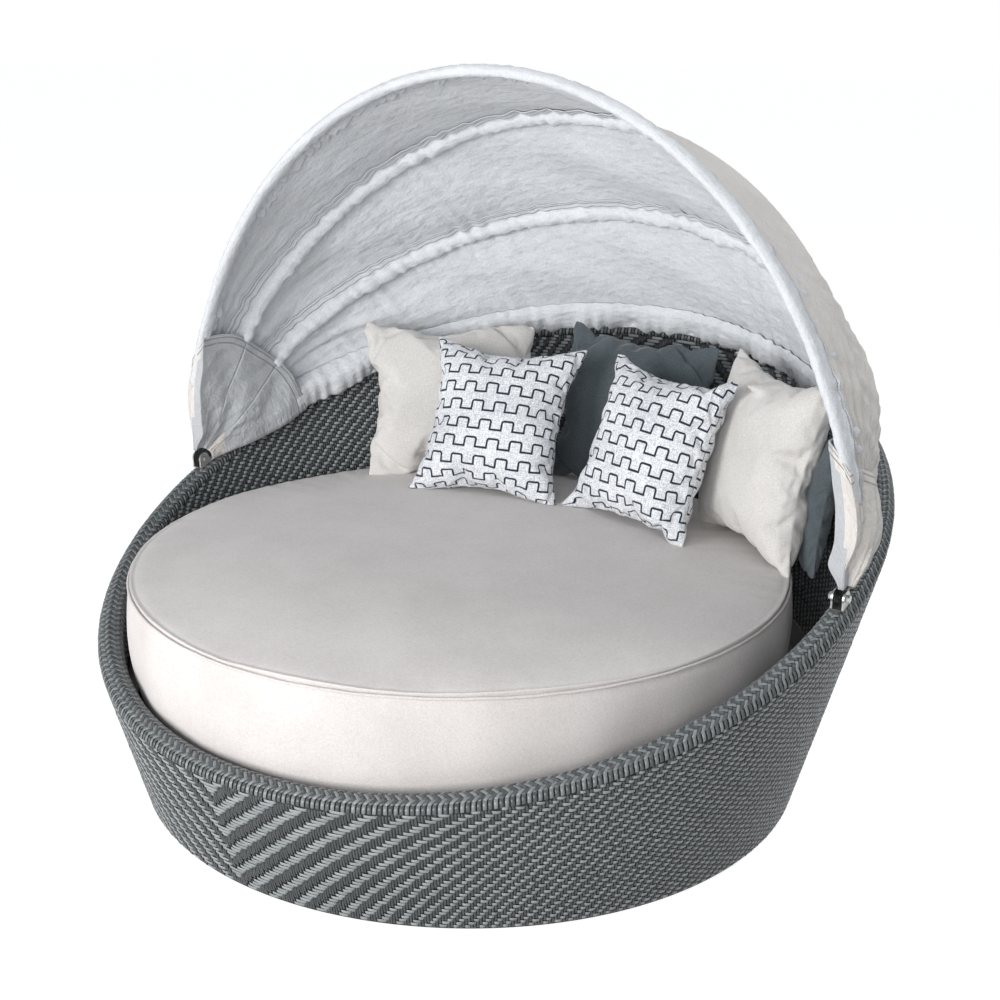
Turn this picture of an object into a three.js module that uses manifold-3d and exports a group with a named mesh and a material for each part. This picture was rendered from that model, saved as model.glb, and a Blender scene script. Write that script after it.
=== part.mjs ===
// Round outdoor daybed with a folding fan canopy, in millimetres, +Z up.
// The open front faces -Y, +X is on the right of someone who faces the daybed.
// The origin lies on the floor, under the centre foot.
import * as THREE from "three";
import { mergeVertices } from "three/addons/utils/BufferGeometryUtils.js";
import Module from "manifold-3d";

const wasm = await Module();
wasm.setup();
const { sin, cos, tan, asin, atan2, hypot, PI } = Math;
const degrees = PI / 180;

// Driving sizes

// Clearances: between pieces that touch, between pieces that turn past each other,
// and between a soft piece and its neighbour.
const touch = 0.3;
const running = 1;
const softGap = 0.5;

// Mattress, which the tub is made round: its radius at the seam, how much smaller its base is, and
// the gap between its base and the tub
const mattressRadius = 780;
const mattressTaper = 6;
const mattressBaseGap = 31.8;
const mattressBulge = 10;
const mattressSetForward = 20;
const mattressSetLeft = 16;
const mattressSeamHeight = 521;
const mattressCrown = 44;
const mattressCrownPower = 2.6;
const mattressEdgeRadius = 26;
const weltRadius = 5;

// Woven tub: a cone that leans outwards, under a rim that climbs from the front to the back
const wallLean = 0.266;
const wallThickness = 55;
const weaveThickness = 5;
const weaveFloorGap = 5;
const rimHeightFront = 321;
const rimHeightBack = 920;
const rimSweepPower = 1.22;
const rimRollWidth = 60;
const rimRollHeight = 30;
const rimRollThickness = 5;

// Welded frame inside the wall, and the deck that carries the mattress
const baseRailHeight = 25;
const uprightWidth = 25;
const rimTubeDiameter = 25;
const deckTubeDiameter = 22;
const deckHeight = 262;
const slatWidth = 60;
const slatHeight = 15;
const slatInset = 125;
const crossbeamWidth = 40;
const crossbeamHeight = 30;
const centreLegDiameter = 42;
const centreFootDiameter = 70;
const glideHeight = 8;
const glideLength = 50;
const glideWidth = 16;

// Canopy pivots, brackets and bolts. The pivots stand over the rim, outside the middle of its roll.
const pivotAngle = 92.53 * degrees;
const pivotOverhang = 1.5;
const pivotRise = 21.7;
const boltDiameter = 10;
const boltHeadDiameter = 18;
const boltHeadHeight = 7;
const nutDiameter = 18;
const nutHeight = 9;
const bracketPlate = 4;
const bracketLength = 45;
const bracketCheekRadius = 17;

// Canopy bows: flattened ends stacked on the bolt, half ellipses above. Near the pivots the bows
// nest side by side, a pitch apart and drawn in a little, so that they fold together
const bowTubeDiameter = 19;
const lugThickness = 4;
const lugRadius = 13;
const lugPitch = lugThickness + running;
const lugStraight = 35;
const bowSpreadEnd = 170;
const bowNestPitch = 20;
const bowNestDraw = 6;
const bowNestEnd = 470;
const bowSwells = { front: 17, second: 17, third: 13, rear: -31 };
const bowRise = 113;
const bowHeightShares = { front: 1, second: 0.972, third: 0.93, rear: 0.914 };
const bowTilts = { front: 1.2, second: 24.8, third: 47.8, rear: 68.5 };

// Canopy cloth
const clothThickness = 2.5;
const clothSag = 16;
const frontHemDrop = 6;
const frontHemTurn = 38;
const rearHemDrop = 42;
const rearHemTurn = 30;
const sleeveLip = 2;
const pocketRadius = 300;
const pocketStart = 60;
const pocketEase = 7;
const tieWidth = 22;
const tieThickness = 2;
const tieLength = 75;
const tieSpread = 250;
const tieClear = 0.6;
const seamGap = 1;

// Loose pillows. Each has its width, height and thickness as shares of a common pillow, and its place
// to the right and to the back as shares of the mattress's radius. Then come its turn, lean and roll.
const pillowSide = 450;
const pillowDepth = 150;
const pillowSink = 12;
const drawInShare = 0.07;
const crownPower = 0.42;
const pillows = {
  pillow_patterned_left: {
    sizeShares: [0.956, 0.978, 1],
    placeShares: [-0.278, 0.56],
    turn: 10.5, lean: 29,
  },
  pillow_patterned_right: {
    sizeShares: [0.933, 0.956, 1],
    placeShares: [0.316, 0.545],
    turn: -17, lean: 23,
  },
  pillow_beige_left: {
    sizeShares: [1.067, 1, 1],
    placeShares: [-0.583, 0.72],
    turn: 36, lean: 20,
  },
  pillow_beige_right: {
    sizeShares: [1.067, 1.044, 1.133],
    placeShares: [0.676, 0.61],
    turn: -38, lean: 12.5, roll: 2,
  },
  pillow_grey_back: {
    sizeShares: [1.044, 1, 0.8],
    placeShares: [0.06, 0.893],
    turn: -5, lean: 14,
  },
  pillow_grey_side: {
    sizeShares: [0.844, 0.778, 0.6],
    placeShares: [0.807, 0.639],
    turn: -50, lean: 8,
  },
};

// How finely the round shapes are cut
const wallColumns = 48;
const mattressColumns = 40;
const rollPoints = 7;
const tubeSides = 8;
const barSides = 16;
const nutSides = 6;
const clothColumns = 24;
const clothRows = 5;
const pocketRows = 3;
const tieRows = 8;
const uprightCount = 8;
const slatsEachSide = 3;
const glideCount = 6;

// Finishes
const finish = (color, roughness, metalness = 0) =>
  new THREE.MeshStandardMaterial({ color, roughness, metalness });
const weave = finish(0x4a4d50, 0.55);
const frameMetal = finish(0x3a3c3e, 0.5, 0.6);
const deckMetal = finish(0x54575a, 0.5, 0.5);
const steel = finish(0xb9bcbe, 0.3, 0.9);
const canopyCloth = finish(0xc9c8c4, 0.9);
const mattressCloth = finish(0xcfc6c0, 0.95);
const beigeCloth = finish(0xcbc4b8, 0.95);
const greyCloth = finish(0x70797d, 0.95);
const patternCloth = finish(0xd5d7da, 0.95);
const rubber = finish(0x1c1c1c, 0.8);

// Shape helpers

// How far apart two samples of a curve are taken to find its direction
const smallStep = 1e-4;

// A point at an angle from the front, a distance from the middle and a height
const polar = (angle, radius, z) => new THREE.Vector3(radius * sin(angle), -radius * cos(angle), z);
const mix = (a, b, t) => a + (b - a) * t;
const smooth = (t) => {
  const s = Math.min(Math.max(t, 0), 1);
  return s * s * (3 - 2 * s);
};
const spread = (count, from, to) => Array.from({ length: count + 1 }, (_, i) => mix(from, to, i / count));

// Keeps positions alone, with shared corners merged and faces pointing out
function closed(geometry) {
  const bare = new THREE.BufferGeometry();
  bare.setAttribute("position", geometry.getAttribute("position"));
  if (geometry.index) bare.setIndex(geometry.index);
  const merged = mergeVertices(bare, touch / 1000);
  const p = merged.getAttribute("position");
  const a = new THREE.Vector3();
  const b = new THREE.Vector3();
  const c = new THREE.Vector3();
  const index = Array.from(merged.index.array);
  let volume = 0;
  for (let i = 0; i < index.length; i += 3) {
    a.fromBufferAttribute(p, index[i]);
    b.fromBufferAttribute(p, index[i + 1]);
    c.fromBufferAttribute(p, index[i + 2]);
    volume += a.dot(b.cross(c));
  }
  if (volume < 0) index.reverse();
  merged.setIndex(index);
  return merged;
}

// Joins a row of rings of points into one skin. Open rows end in ladder caps, which suit
// a flat or a convex ring that starts on one side and comes back on the other.
function skin(rings, endless = false) {
  const count = rings[0].length;
  const index = [];
  const quad = (a, b, c, d) => index.push(a, b, c, a, c, d);
  const rows = endless ? rings.length : rings.length - 1;
  for (let i = 0; i < rows; i++) {
    const here = i * count;
    const next = ((i + 1) % rings.length) * count;
    for (let j = 0; j < count; j++) {
      const k = (j + 1) % count;
      quad(here + j, here + k, next + k, next + j);
    }
  }
  const last = (rings.length - 1) * count;
  for (let j = 0; !endless && j < count / 2 - 1; j++) {
    const k = count - 1 - j;
    quad(k, k - 1, j + 1, j);
    quad(last + j, last + j + 1, last + k - 1, last + k);
  }
  const geometry = new THREE.BufferGeometry().setFromPoints(rings.flat());
  geometry.setIndex(index);
  return closed(geometry);
}

// A sheet of even thickness under a surface at(u, v). The sheet lies on the side that
// side * (d/du x d/dv) points away from.
function sheet(at, us, vs, thickness, side = 1, endless = false) {
  const rings = us.map((u) => {
    const outer = vs.map((v) => at(u, v));
    const inner = vs.map((v, i) => {
      const du = at(u + smallStep, v).sub(at(u - smallStep, v));
      const dv = at(u, v + smallStep).sub(at(u, v - smallStep));
      const normal = du.cross(dv).normalize();
      return outer[i].clone().addScaledVector(normal, -side * thickness);
    });
    return [...outer, ...inner.reverse()];
  });
  return skin(rings, endless);
}

// A round ring of points about a centre, in the plane of two unit vectors
const circle = (centre, a, b, radiusA, radiusB = radiusA, sides = tubeSides) =>
  Array.from({ length: sides }, (_, i) => {
    const turn = (i / sides) * 2 * PI;
    return centre.clone().addScaledVector(a, radiusA * cos(turn)).addScaledVector(b, radiusB * sin(turn));
  });

const solid = (geometry) => {
  const { index, attributes } = closed(geometry);
  const vertProperties = attributes.position.array;
  const triVerts = new Uint32Array(index.array);
  return new wasm.Manifold(new wasm.Mesh({ numProp: 3, vertProperties, triVerts }));
};
const fromSolid = (manifold) => {
  const { vertProperties, triVerts } = manifold.getMesh();
  const geometry = new THREE.BufferGeometry();
  geometry.setAttribute("position", new THREE.BufferAttribute(new Float32Array(vertProperties), 3));
  geometry.setIndex(Array.from(triVerts));
  return geometry;
};
const cut = (geometry, ...cutters) =>
  fromSolid(cutters.reduce((left, cutter) => left.subtract(solid(cutter)), solid(geometry)));
const placed = (geometry, matrix) => geometry.clone().applyMatrix4(matrix);

// The object and its nodes
const daybed = new THREE.Group();
daybed.name = "outdoor_daybed";
function add(name, geometry, material) {
  const mesh = new THREE.Mesh(geometry, material);
  mesh.name = name;
  daybed.add(mesh);
  return mesh;
}

// Tub wall

const wallSlope = hypot(1, wallLean);
const mattressBaseRadius = mattressRadius - mattressTaper;
const wallRadiusAtDeck = mattressBaseRadius + mattressBaseGap + wallThickness * wallSlope;
const wallRadiusAtFloor = wallRadiusAtDeck - wallLean * deckHeight;
const wallRadius = (z) => wallRadiusAtFloor + wallLean * z;
// Where a layer lies that is this deep under the outer face, measured square to the wall
const layerRadius = (z, depth) => wallRadius(z) - depth * wallSlope;
const rimShare = (angle) => ((1 - cos(angle)) / 2) ** rimSweepPower;
const rimHeight = (angle) => mix(rimHeightFront, rimHeightBack, rimShare(angle));
const around = Array.from({ length: wallColumns }, (_, i) => (i / wallColumns) * 2 * PI);
const innerFaceDepth = wallThickness;
const innerWeaveDepth = wallThickness - weaveThickness;
const rimLayersTop = (angle) => rimHeight(angle) - rimRollHeight - touch;

const band = (bottom, outerDepth) =>
  skin(
    around.map((angle) => {
      const top = rimLayersTop(angle);
      const innerDepth = outerDepth + weaveThickness;
      return [
        polar(angle, layerRadius(bottom, outerDepth), bottom),
        polar(angle, layerRadius(top, outerDepth), top),
        polar(angle, layerRadius(top, innerDepth), top),
        polar(angle, layerRadius(bottom, innerDepth), bottom),
      ];
    }),
    true,
  );
add("outer_weave", band(weaveFloorGap, 0), weave);
add("inner_weave", band(deckHeight + touch, innerWeaveDepth), weave);

// The braid rolls over the rim as an arch, whose two feet stand on the two layers of weave
const rollRing = (angle) => {
  const foot = rimHeight(angle) - rimRollHeight;
  const middle = layerRadius(foot, wallThickness / 2);
  const arch = (halfWidth, rise) =>
    spread(rollPoints - 1, 0, PI).map((turn) => {
      const radius = middle + halfWidth * cos(turn);
      return polar(angle, radius, foot + rise * sin(turn));
    });
  const outer = arch(rimRollWidth / 2, rimRollHeight);
  const inner = arch(rimRollWidth / 2 - rimRollThickness, rimRollHeight - rimRollThickness);
  return [...outer, ...inner.reverse()];
};
add("rim_braid", skin(around.map(rollRing), true), weave);

// Frame in the wall

// The base rail, as deep as the wall's cavity, follows its lean
const cavity = [weaveThickness + touch, innerWeaveDepth - touch];
const railBottom = glideHeight + touch;
const railTop = railBottom + baseRailHeight;
const railCorners = [
  [cavity[0], railBottom],
  [cavity[0], railTop],
  [cavity[1], railTop],
  [cavity[1], railBottom],
];
const railRing = (angle) => railCorners.map(([depth, z]) => polar(angle, layerRadius(z, depth), z));
add("frame_base_rail", skin(around.map(railRing), true), frameMetal);

const ringTube = (centreOf, tube) =>
  skin(
    around.map((angle) => {
      const { radius, z } = centreOf(angle);
      return circle(polar(angle, radius, z), polar(angle, 1, 0), new THREE.Vector3(0, 0, 1), tube / 2);
    }),
    true,
  );
const rimFoot = (angle) => rimHeight(angle) - rimRollHeight;
const rimTubeAt = (angle) => ({
  radius: layerRadius(rimFoot(angle), wallThickness / 2),
  z: rimHeight(angle) - rimRollThickness - touch - rimTubeDiameter / 2,
});
add("frame_rim_tube", ringTube(rimTubeAt, rimTubeDiameter), frameMetal);

// Uprights: box sections that fill the cavity from the base rail to the rim tube
const facetDrop = (width) => (width / 2) * tan(PI / wallColumns);
for (let i = 0; i < uprightCount; i++) {
  const angle = around[Math.round(((i + 0.5) / uprightCount) * wallColumns)];
  const depths = [cavity[0] + facetDrop(uprightWidth), cavity[1]];
  const top = (at) => rimTubeAt(at).z - rimTubeDiameter / 2 - softGap;
  const rings = [() => railTop + touch, top].map((height) =>
    [
      [-1, 0],
      [1, 0],
      [1, 1],
      [-1, 1],
    ].map(([side, layer]) => {
      const corner = angle + (side * uprightWidth) / 2 / layerRadius(railTop, depths[layer]);
      const z = height(corner);
      return polar(corner, layerRadius(z, depths[layer]), z);
    }),
  );
  add(`frame_upright_${i + 1}`, skin(rings), frameMetal);
}

// Deck: a ring on the uprights, evenly spaced slats across it, a beam under them and a leg under the beam

const slatUnderside = deckHeight - slatHeight;
const deckTubeHeight = slatUnderside - touch - deckTubeDiameter / 2;
const deckTubeRadius = layerRadius(deckTubeHeight, cavity[1] + touch + deckTubeDiameter / 2);
const deckTubeAt = () => ({ radius: deckTubeRadius, z: deckTubeHeight });
add("deck_ring", ringTube(deckTubeAt, deckTubeDiameter), frameMetal);

const slatSpan = (y) => 2 * Math.sqrt(deckTubeRadius ** 2 - (Math.abs(y) + slatWidth / 2) ** 2);
const slatPitch = (deckTubeRadius - slatInset) / slatsEachSide;
for (let i = -slatsEachSide; i <= slatsEachSide; i++) {
  const y = i * slatPitch;
  const board = new THREE.BoxGeometry(slatSpan(y), slatWidth, slatHeight);
  const slat = add(`deck_slat_${i + slatsEachSide + 1}`, board, deckMetal);
  slat.position.set(0, y, deckHeight - slatHeight / 2);
}
const crossbeamLength = 2 * (deckTubeRadius - deckTubeDiameter / 2 - facetDrop(crossbeamWidth) - touch);
const crossbeamTop = slatUnderside - touch;
const beam = new THREE.BoxGeometry(crossbeamWidth, crossbeamLength, crossbeamHeight);
const crossbeam = add("deck_crossbeam", beam, deckMetal);
crossbeam.position.z = crossbeamTop - crossbeamHeight / 2;
const legTop = crossbeamTop - crossbeamHeight - touch;
const legBottom = glideHeight + touch;
const upright = new THREE.Matrix4().makeRotationX(PI / 2);
const bar = (diameter, length, sides = barSides) =>
  new THREE.CylinderGeometry(diameter / 2, diameter / 2, length, sides);
const leg = add("deck_centre_leg", placed(bar(centreLegDiameter, legTop - legBottom), upright), frameMetal);
leg.position.z = (legTop + legBottom) / 2;
const foot = add("centre_foot", placed(bar(centreFootDiameter, glideHeight), upright), rubber);
foot.position.z = glideHeight / 2;
for (let i = 0; i < glideCount; i++) {
  const angle = around[Math.round((i / glideCount) * wallColumns)];
  const pad = new THREE.BoxGeometry(glideLength, glideWidth, glideHeight);
  const glide = add(`floor_glide_${i + 1}`, pad, rubber);
  glide.position.copy(polar(angle, layerRadius(railBottom, wallThickness / 2), glideHeight / 2));
  glide.rotation.z = angle;
}

// Mattress: a turned form with a soft lower edge, a welt round the top edge and a crown

const mattressBase = deckHeight + softGap;
const crownShare = (radius) => 1 - (radius / mattressRadius) ** mattressCrownPower;
const crownHeight = (radius) => mattressSeamHeight + mattressCrown * crownShare(radius);
const sideShares = [0.15, 0.4, 0.65, 0.9];
const crownShares = [0.96, 0.86, 0.7, 0.5, 0.28];
const crownPoint = (radius, grow) => new THREE.Vector2(radius, crownHeight(radius) + grow);
const mattressProfile = (grow = 0) => [
  new THREE.Vector2(0, mattressBase),
  new THREE.Vector2(mattressBaseRadius - mattressEdgeRadius, mattressBase),
  new THREE.Vector2(mattressBaseRadius, mattressBase + mattressEdgeRadius),
  ...sideShares.map((share) => {
    const z = mix(mattressBase + mattressEdgeRadius, mattressSeamHeight - weltRadius, share);
    const radius = mix(mattressBaseRadius, mattressRadius, share) + mattressBulge * sin(PI * share);
    return new THREE.Vector2(radius + grow, z);
  }),
  new THREE.Vector2(mattressRadius + grow, mattressSeamHeight - weltRadius),
  new THREE.Vector2(mattressRadius + weltRadius + grow, mattressSeamHeight),
  new THREE.Vector2(mattressRadius - weltRadius, mattressSeamHeight + weltRadius + grow),
  ...crownShares.map((share) => crownPoint(share * mattressRadius, grow)),
  crownPoint(0, grow),
];
const mattressForm = (grow) => {
  const turned = placed(new THREE.LatheGeometry(mattressProfile(grow), mattressColumns), upright);
  return placed(turned, new THREE.Matrix4().makeTranslation(-mattressSetLeft, -mattressSetForward, 0));
};
add("mattress", closed(mattressForm(0)), mattressCloth);

// Pillows: crowned, with sides that draw in between the four corners

const pillowCells = 10;
const pillowGrid = spread(pillowCells, -1, 1).map((t) => sin((t * PI) / 2));
const pillowSizes = ({ sizeShares: [width, height, depth] }) => [
  width * pillowSide,
  height * pillowSide,
  depth * pillowDepth,
];
function pillowForm(pillow, grow = 0) {
  const [width, height, depth] = pillowSizes(pillow);
  const points = [];
  const index = [];
  const face = (side) => {
    const start = points.length;
    for (const v of pillowGrid) {
      for (const u of pillowGrid) {
        const x = (width / 2 + grow) * u * (1 - drawInShare * (1 - v * v));
        const y = (height / 2 + grow) * v * (1 - drawInShare * (1 - u * u));
        const crown = Math.max((1 - u * u) * (1 - v * v), 0) ** crownPower;
        points.push(new THREE.Vector3(x, y, side * (depth / 2 + grow) * crown));
      }
    }
    const row = pillowCells + 1;
    for (let i = 0; i < pillowCells; i++) {
      for (let j = 0; j < pillowCells; j++) {
        const a = start + i * row + j;
        const quad = side > 0 ? [a, a + 1, a + row + 1, a + row] : [a, a + row, a + row + 1, a + 1];
        index.push(quad[0], quad[1], quad[2], quad[0], quad[2], quad[3]);
      }
    }
  };
  face(1);
  face(-1);
  const geometry = new THREE.BufferGeometry().setFromPoints(points);
  geometry.setIndex(index);
  return closed(geometry);
}
// The pillow's own frame: x to its right, y up its face, z out of its face
function pillowPlace(pillow) {
  const { turn, lean, roll = 0 } = pillow;
  const [, height] = pillowSizes(pillow);
  const [x, y] = pillow.placeShares.map((share) => share * mattressRadius);
  const face = new THREE.Matrix4().makeRotationX(PI / 2 - lean * degrees);
  const about = new THREE.Matrix4().makeRotationZ(turn * degrees);
  const spin = new THREE.Matrix4().makeRotationZ(roll * degrees);
  const radius = hypot(x + mattressSetLeft, y + mattressSetForward);
  const rest = crownHeight(Math.min(radius, mattressRadius)) - pillowSink;
  const centre = rest + (height / 2) * cos(lean * degrees);
  return new THREE.Matrix4().makeTranslation(x, y, centre).multiply(about).multiply(face).multiply(spin);
}
const mattressClear = mattressForm(touch);
const pillowSolids = {};
for (const [name, pillow] of Object.entries(pillows)) {
  const place = pillowPlace(pillow);
  const cloth = name.includes("patterned") ? patternCloth : name.includes("grey") ? greyCloth : beigeCloth;
  const neighbours = Object.values(pillowSolids);
  const form = cut(placed(pillowForm(pillow), place), mattressClear, ...neighbours);
  pillowSolids[name] = placed(pillowForm(pillow, softGap), place);
  add(name, form, cloth);
}

// Canopy bows

const pivotRadius = layerRadius(rimFoot(pivotAngle), wallThickness / 2) + pivotOverhang;
const pivotHalfSpan = pivotRadius * sin(pivotAngle);
const pivotSetBack = -pivotRadius * cos(pivotAngle);
const pivotHeight = rimHeight(pivotAngle) + pivotRise;
const bowNames = ["front", "second", "third", "rear"];
const bows = bowNames.map((name, i) => ({
  name,
  tilt: bowTilts[name] * degrees,
  height: bowHeightShares[name] * (pivotHalfSpan + bowRise),
  halfWidth: pivotHalfSpan + bowSwells[name],
  nestX: pivotHalfSpan + (1.5 - i) * bowNestPitch - bowNestDraw,
  lugX: pivotHalfSpan + (1.5 - i) * lugPitch,
}));
// From a place across the span, a distance from the pivots' axis and a tilt back from upright
const fan = (x, reach, tilt) =>
  new THREE.Vector3(x, pivotSetBack + reach * sin(tilt), pivotHeight + reach * cos(tilt));
const spreadShare = (reach) => smooth((reach - lugStraight) / (bowSpreadEnd - lugStraight));
const swellShare = (reach) => smooth((reach - bowSpreadEnd) / (bowNestEnd - bowSpreadEnd));
// The bow's middle line in its own plane: turn 0 is the right end, PI the left one
function bowLine(bow, turn, lift = 0) {
  const reach = (bow.height + lift) * sin(turn);
  const flat = Math.abs(cos(turn));
  const along = bow.height * sin(turn);
  const end = mix(mix(bow.lugX, bow.nestX, spreadShare(along)), bow.halfWidth, swellShare(along));
  const x = end - bow.halfWidth * (1 - flat) + lift * flat;
  return { x: Math.sign(cos(turn)) * x, reach };
}
// The middle of the bow's tube with the unit directions out of the fan and back round it
function bowFrame(bow, turn) {
  const { x, reach } = bowLine(bow, turn);
  const before = bowLine(bow, turn - smallStep);
  const after = bowLine(bow, turn + smallStep);
  const run = new THREE.Vector2(after.x - before.x, after.reach - before.reach).normalize();
  const middle = fan(0, 0, bow.tilt);
  const outward = fan(run.y, -run.x, bow.tilt).sub(middle);
  const back = fan(0, 1, bow.tilt + PI / 2).sub(middle);
  return { centre: fan(x, reach, bow.tilt), outward, back, reach };
}
const bowClear = bowTubeDiameter / 2 + softGap;
const clothLift = bowClear + clothThickness;
const lugShares = [-0.92, -0.68, -0.34, 0];
const straightShares = [0.5, 1];
const growShares = [0.2, 0.45, 0.7, 1];
const bowEndReaches = [
  ...lugShares.map((share) => share * lugRadius),
  ...straightShares.map((share) => share * lugStraight),
  ...growShares.map((share) => mix(lugStraight, bowSpreadEnd, share)),
];
// The cloth starts where the corner pockets end, and the bow is cut at the same turns
const pocketTop = (bow) => asin((pocketRadius + clothLift) / bow.height);
const clothTurns = (bow) => spread(clothColumns, pocketTop(bow), PI - pocketTop(bow));
function bowGeometry(bow) {
  const ends = bowEndReaches.map((reach) => asin(reach / bow.height));
  const turns = [...ends, ...clothTurns(bow), ...ends.map((turn) => PI - turn).reverse()];
  const rings = turns.map((turn) => {
    const { centre, outward, back, reach } = bowFrame(bow, turn);
    const full = spreadShare(reach);
    const rounded = reach < 0 ? Math.sqrt(lugRadius ** 2 - reach ** 2) : lugRadius;
    const thick = mix(lugThickness, bowTubeDiameter, full) / 2;
    const wide = mix(rounded, bowTubeDiameter / 2, full);
    return circle(centre, outward, back, thick, wide);
  });
  return skin(rings);
}
const across = new THREE.Matrix4().makeRotationZ(PI / 2);
const pin = (diameter, length, x, sides = barSides) => {
  const onAxis = new THREE.Matrix4().makeTranslation(x, pivotSetBack, pivotHeight).multiply(across);
  return placed(bar(diameter, length, sides), onAxis);
};
const boltHole = (boltDiameter + 2 * touch) / cos(PI / barSides);
const boltHoles = pin(boltHole, 2 * (pivotHalfSpan + rimRollWidth), 0);
for (const bow of bows) add(`bow_${bow.name}`, cut(bowGeometry(bow), boltHoles), frameMetal);

// Pivot brackets: a channel on the rim, its cheeks either side of the stacked lugs

const rimClimb = (rimHeight(pivotAngle + smallStep) - rimHeight(pivotAngle - smallStep)) / (2 * smallStep);
const rimPitch = atan2(rimClimb, pivotRadius);
const stackWidth = bows.length * lugThickness + (bows.length - 1) * running;
const channelInside = stackWidth + 2 * running;
const channelOutside = channelInside + 2 * bracketPlate;
const channelSeat = rimHeight(pivotAngle) + touch / cos(rimPitch) + touch;
const channelBase = (pivotHeight - channelSeat) * cos(rimPitch);
function bracketGeometry(side) {
  const middle = side * pivotHalfSpan;
  // A cheek's outline in its own plane, from the channel's base up round the bolt
  const cheek = new THREE.Shape();
  cheek.moveTo(-bracketLength / 2, -channelBase);
  cheek.lineTo(bracketLength / 2, -channelBase);
  cheek.lineTo(bracketLength / 2, -channelBase + bracketPlate);
  cheek.absarc(0, 0, bracketCheekRadius, 0, PI, false);
  cheek.lineTo(-bracketLength / 2, -channelBase + bracketPlate);
  const outside = { depth: channelOutside, bevelEnabled: false, curveSegments: tubeSides };
  const block = new THREE.ExtrudeGeometry(cheek, outside);
  const channelHeight = 2 * (channelBase + bracketCheekRadius);
  const channel = new THREE.BoxGeometry(2 * bracketLength, channelHeight, channelInside);
  const channelRise = bracketPlate + bracketCheekRadius;
  const lifted = placed(channel, new THREE.Matrix4().makeTranslation(0, channelRise, channelOutside / 2));
  const [toRight, toBack, toTop] = [0, 1, 2].map((i) => new THREE.Vector3().setComponent(i, 1));
  const stand = new THREE.Matrix4()
    .makeTranslation(middle - channelOutside / 2, pivotSetBack, pivotHeight)
    .multiply(new THREE.Matrix4().makeRotationX(rimPitch))
    .multiply(new THREE.Matrix4().makeBasis(toBack, toTop, toRight));
  return cut(placed(cut(block, lifted), stand), boltHoles);
}
const sides = { right: 1, left: -1 };
for (const [side, sign] of Object.entries(sides)) {
  add(`canopy_bracket_${side}`, bracketGeometry(sign), steel);
  const cheekFace = pivotHalfSpan + channelOutside / 2 + touch;
  const innerFace = pivotHalfSpan - channelOutside / 2 - touch;
  const shankEnd = innerFace - nutHeight - touch;
  const shank = pin(boltDiameter, cheekFace - shankEnd, (sign * (cheekFace + shankEnd)) / 2);
  const head = pin(boltHeadDiameter, boltHeadHeight, sign * (cheekFace + boltHeadHeight / 2), nutSides);
  add(`pivot_bolt_${side}`, fromSolid(solid(shank).add(solid(head))), steel);
  const nut = pin(nutDiameter, nutHeight, sign * (innerFace - nutHeight / 2), nutSides);
  add(`pivot_nut_${side}`, cut(nut, boltHoles), steel);
}

// Canopy cloth

// Each seam lies over a bow
function panelGeometry(front, back) {
  const at = (u, v) => {
    const ends = [front, back].map((bow) => {
      const { x, reach } = bowLine(bow, mix(pocketTop(bow), PI - pocketTop(bow), u), clothLift);
      return fan(x, reach, bow.tilt);
    });
    const gap = seamGap / ends[0].distanceTo(ends[1]);
    const place = mix(gap, 1 - gap, v);
    const point = ends[0].lerp(ends[1], place);
    const inward = fan(0, 0, 0).sub(point).normalize();
    return point.addScaledVector(inward, clothSag * sin(PI * place) * sin(PI * u));
  };
  return sheet(at, spread(clothColumns, 0, 1), spread(clothRows, 0, 1), clothThickness, -1);
}
const panelNames = ["front", "middle", "rear"];
panelNames.forEach((name, i) => {
  add(`canopy_panel_${name}`, panelGeometry(bows[i], bows[i + 1]), canopyCloth);
});

// A strip of cloth along a bow. Its outline runs round the tube, in steps back round the fan
// and out of it, on the side that faces the tube.
function alongBow(bow, outline, side) {
  const section = new THREE.CatmullRomCurve3(outline.map(([back, out]) => new THREE.Vector3(back, out, 0)));
  const at = (u, v) => {
    const { centre, outward, back } = bowFrame(bow, mix(pocketTop(bow), PI - pocketTop(bow), u));
    const { x, y } = section.getPoint(THREE.MathUtils.clamp(v, 0, 1));
    return centre.addScaledVector(back, x).addScaledVector(outward, y);
  };
  return sheet(at, spread(clothColumns, 0, 1), spread(outline.length - 1, 0, 1), clothThickness, side);
}
// A hem starts at the panel's edge, goes round the tube and lies back under the panel
const hem = (way, drop, turnIn) => [
  [way * seamGap, bowClear],
  [way * (drop + bowClear / 2), bowClear - softGap],
  [way * (drop + bowClear), 0],
  [way * (drop + bowClear / 2), softGap - bowClear],
  [0, -bowClear],
  [-way * turnIn, -bowClear],
];
const sleeve = [
  [bowClear, sleeveLip],
  [bowClear, -bowClear / 2],
  [bowClear / 3, -clothLift],
  [-bowClear / 3, -clothLift],
  [-bowClear, -bowClear / 2],
  [-bowClear, sleeveLip],
];
add("canopy_hem_front", alongBow(bows[0], hem(-1, frontHemDrop, frontHemTurn), -1), canopyCloth);
add("canopy_hem_rear", alongBow(bows[3], hem(1, rearHemDrop, rearHemTurn), 1), canopyCloth);
add("canopy_sleeve_second", alongBow(bows[1], sleeve, 1), canopyCloth);
add("canopy_sleeve_third", alongBow(bows[2], sleeve, 1), canopyCloth);

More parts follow.
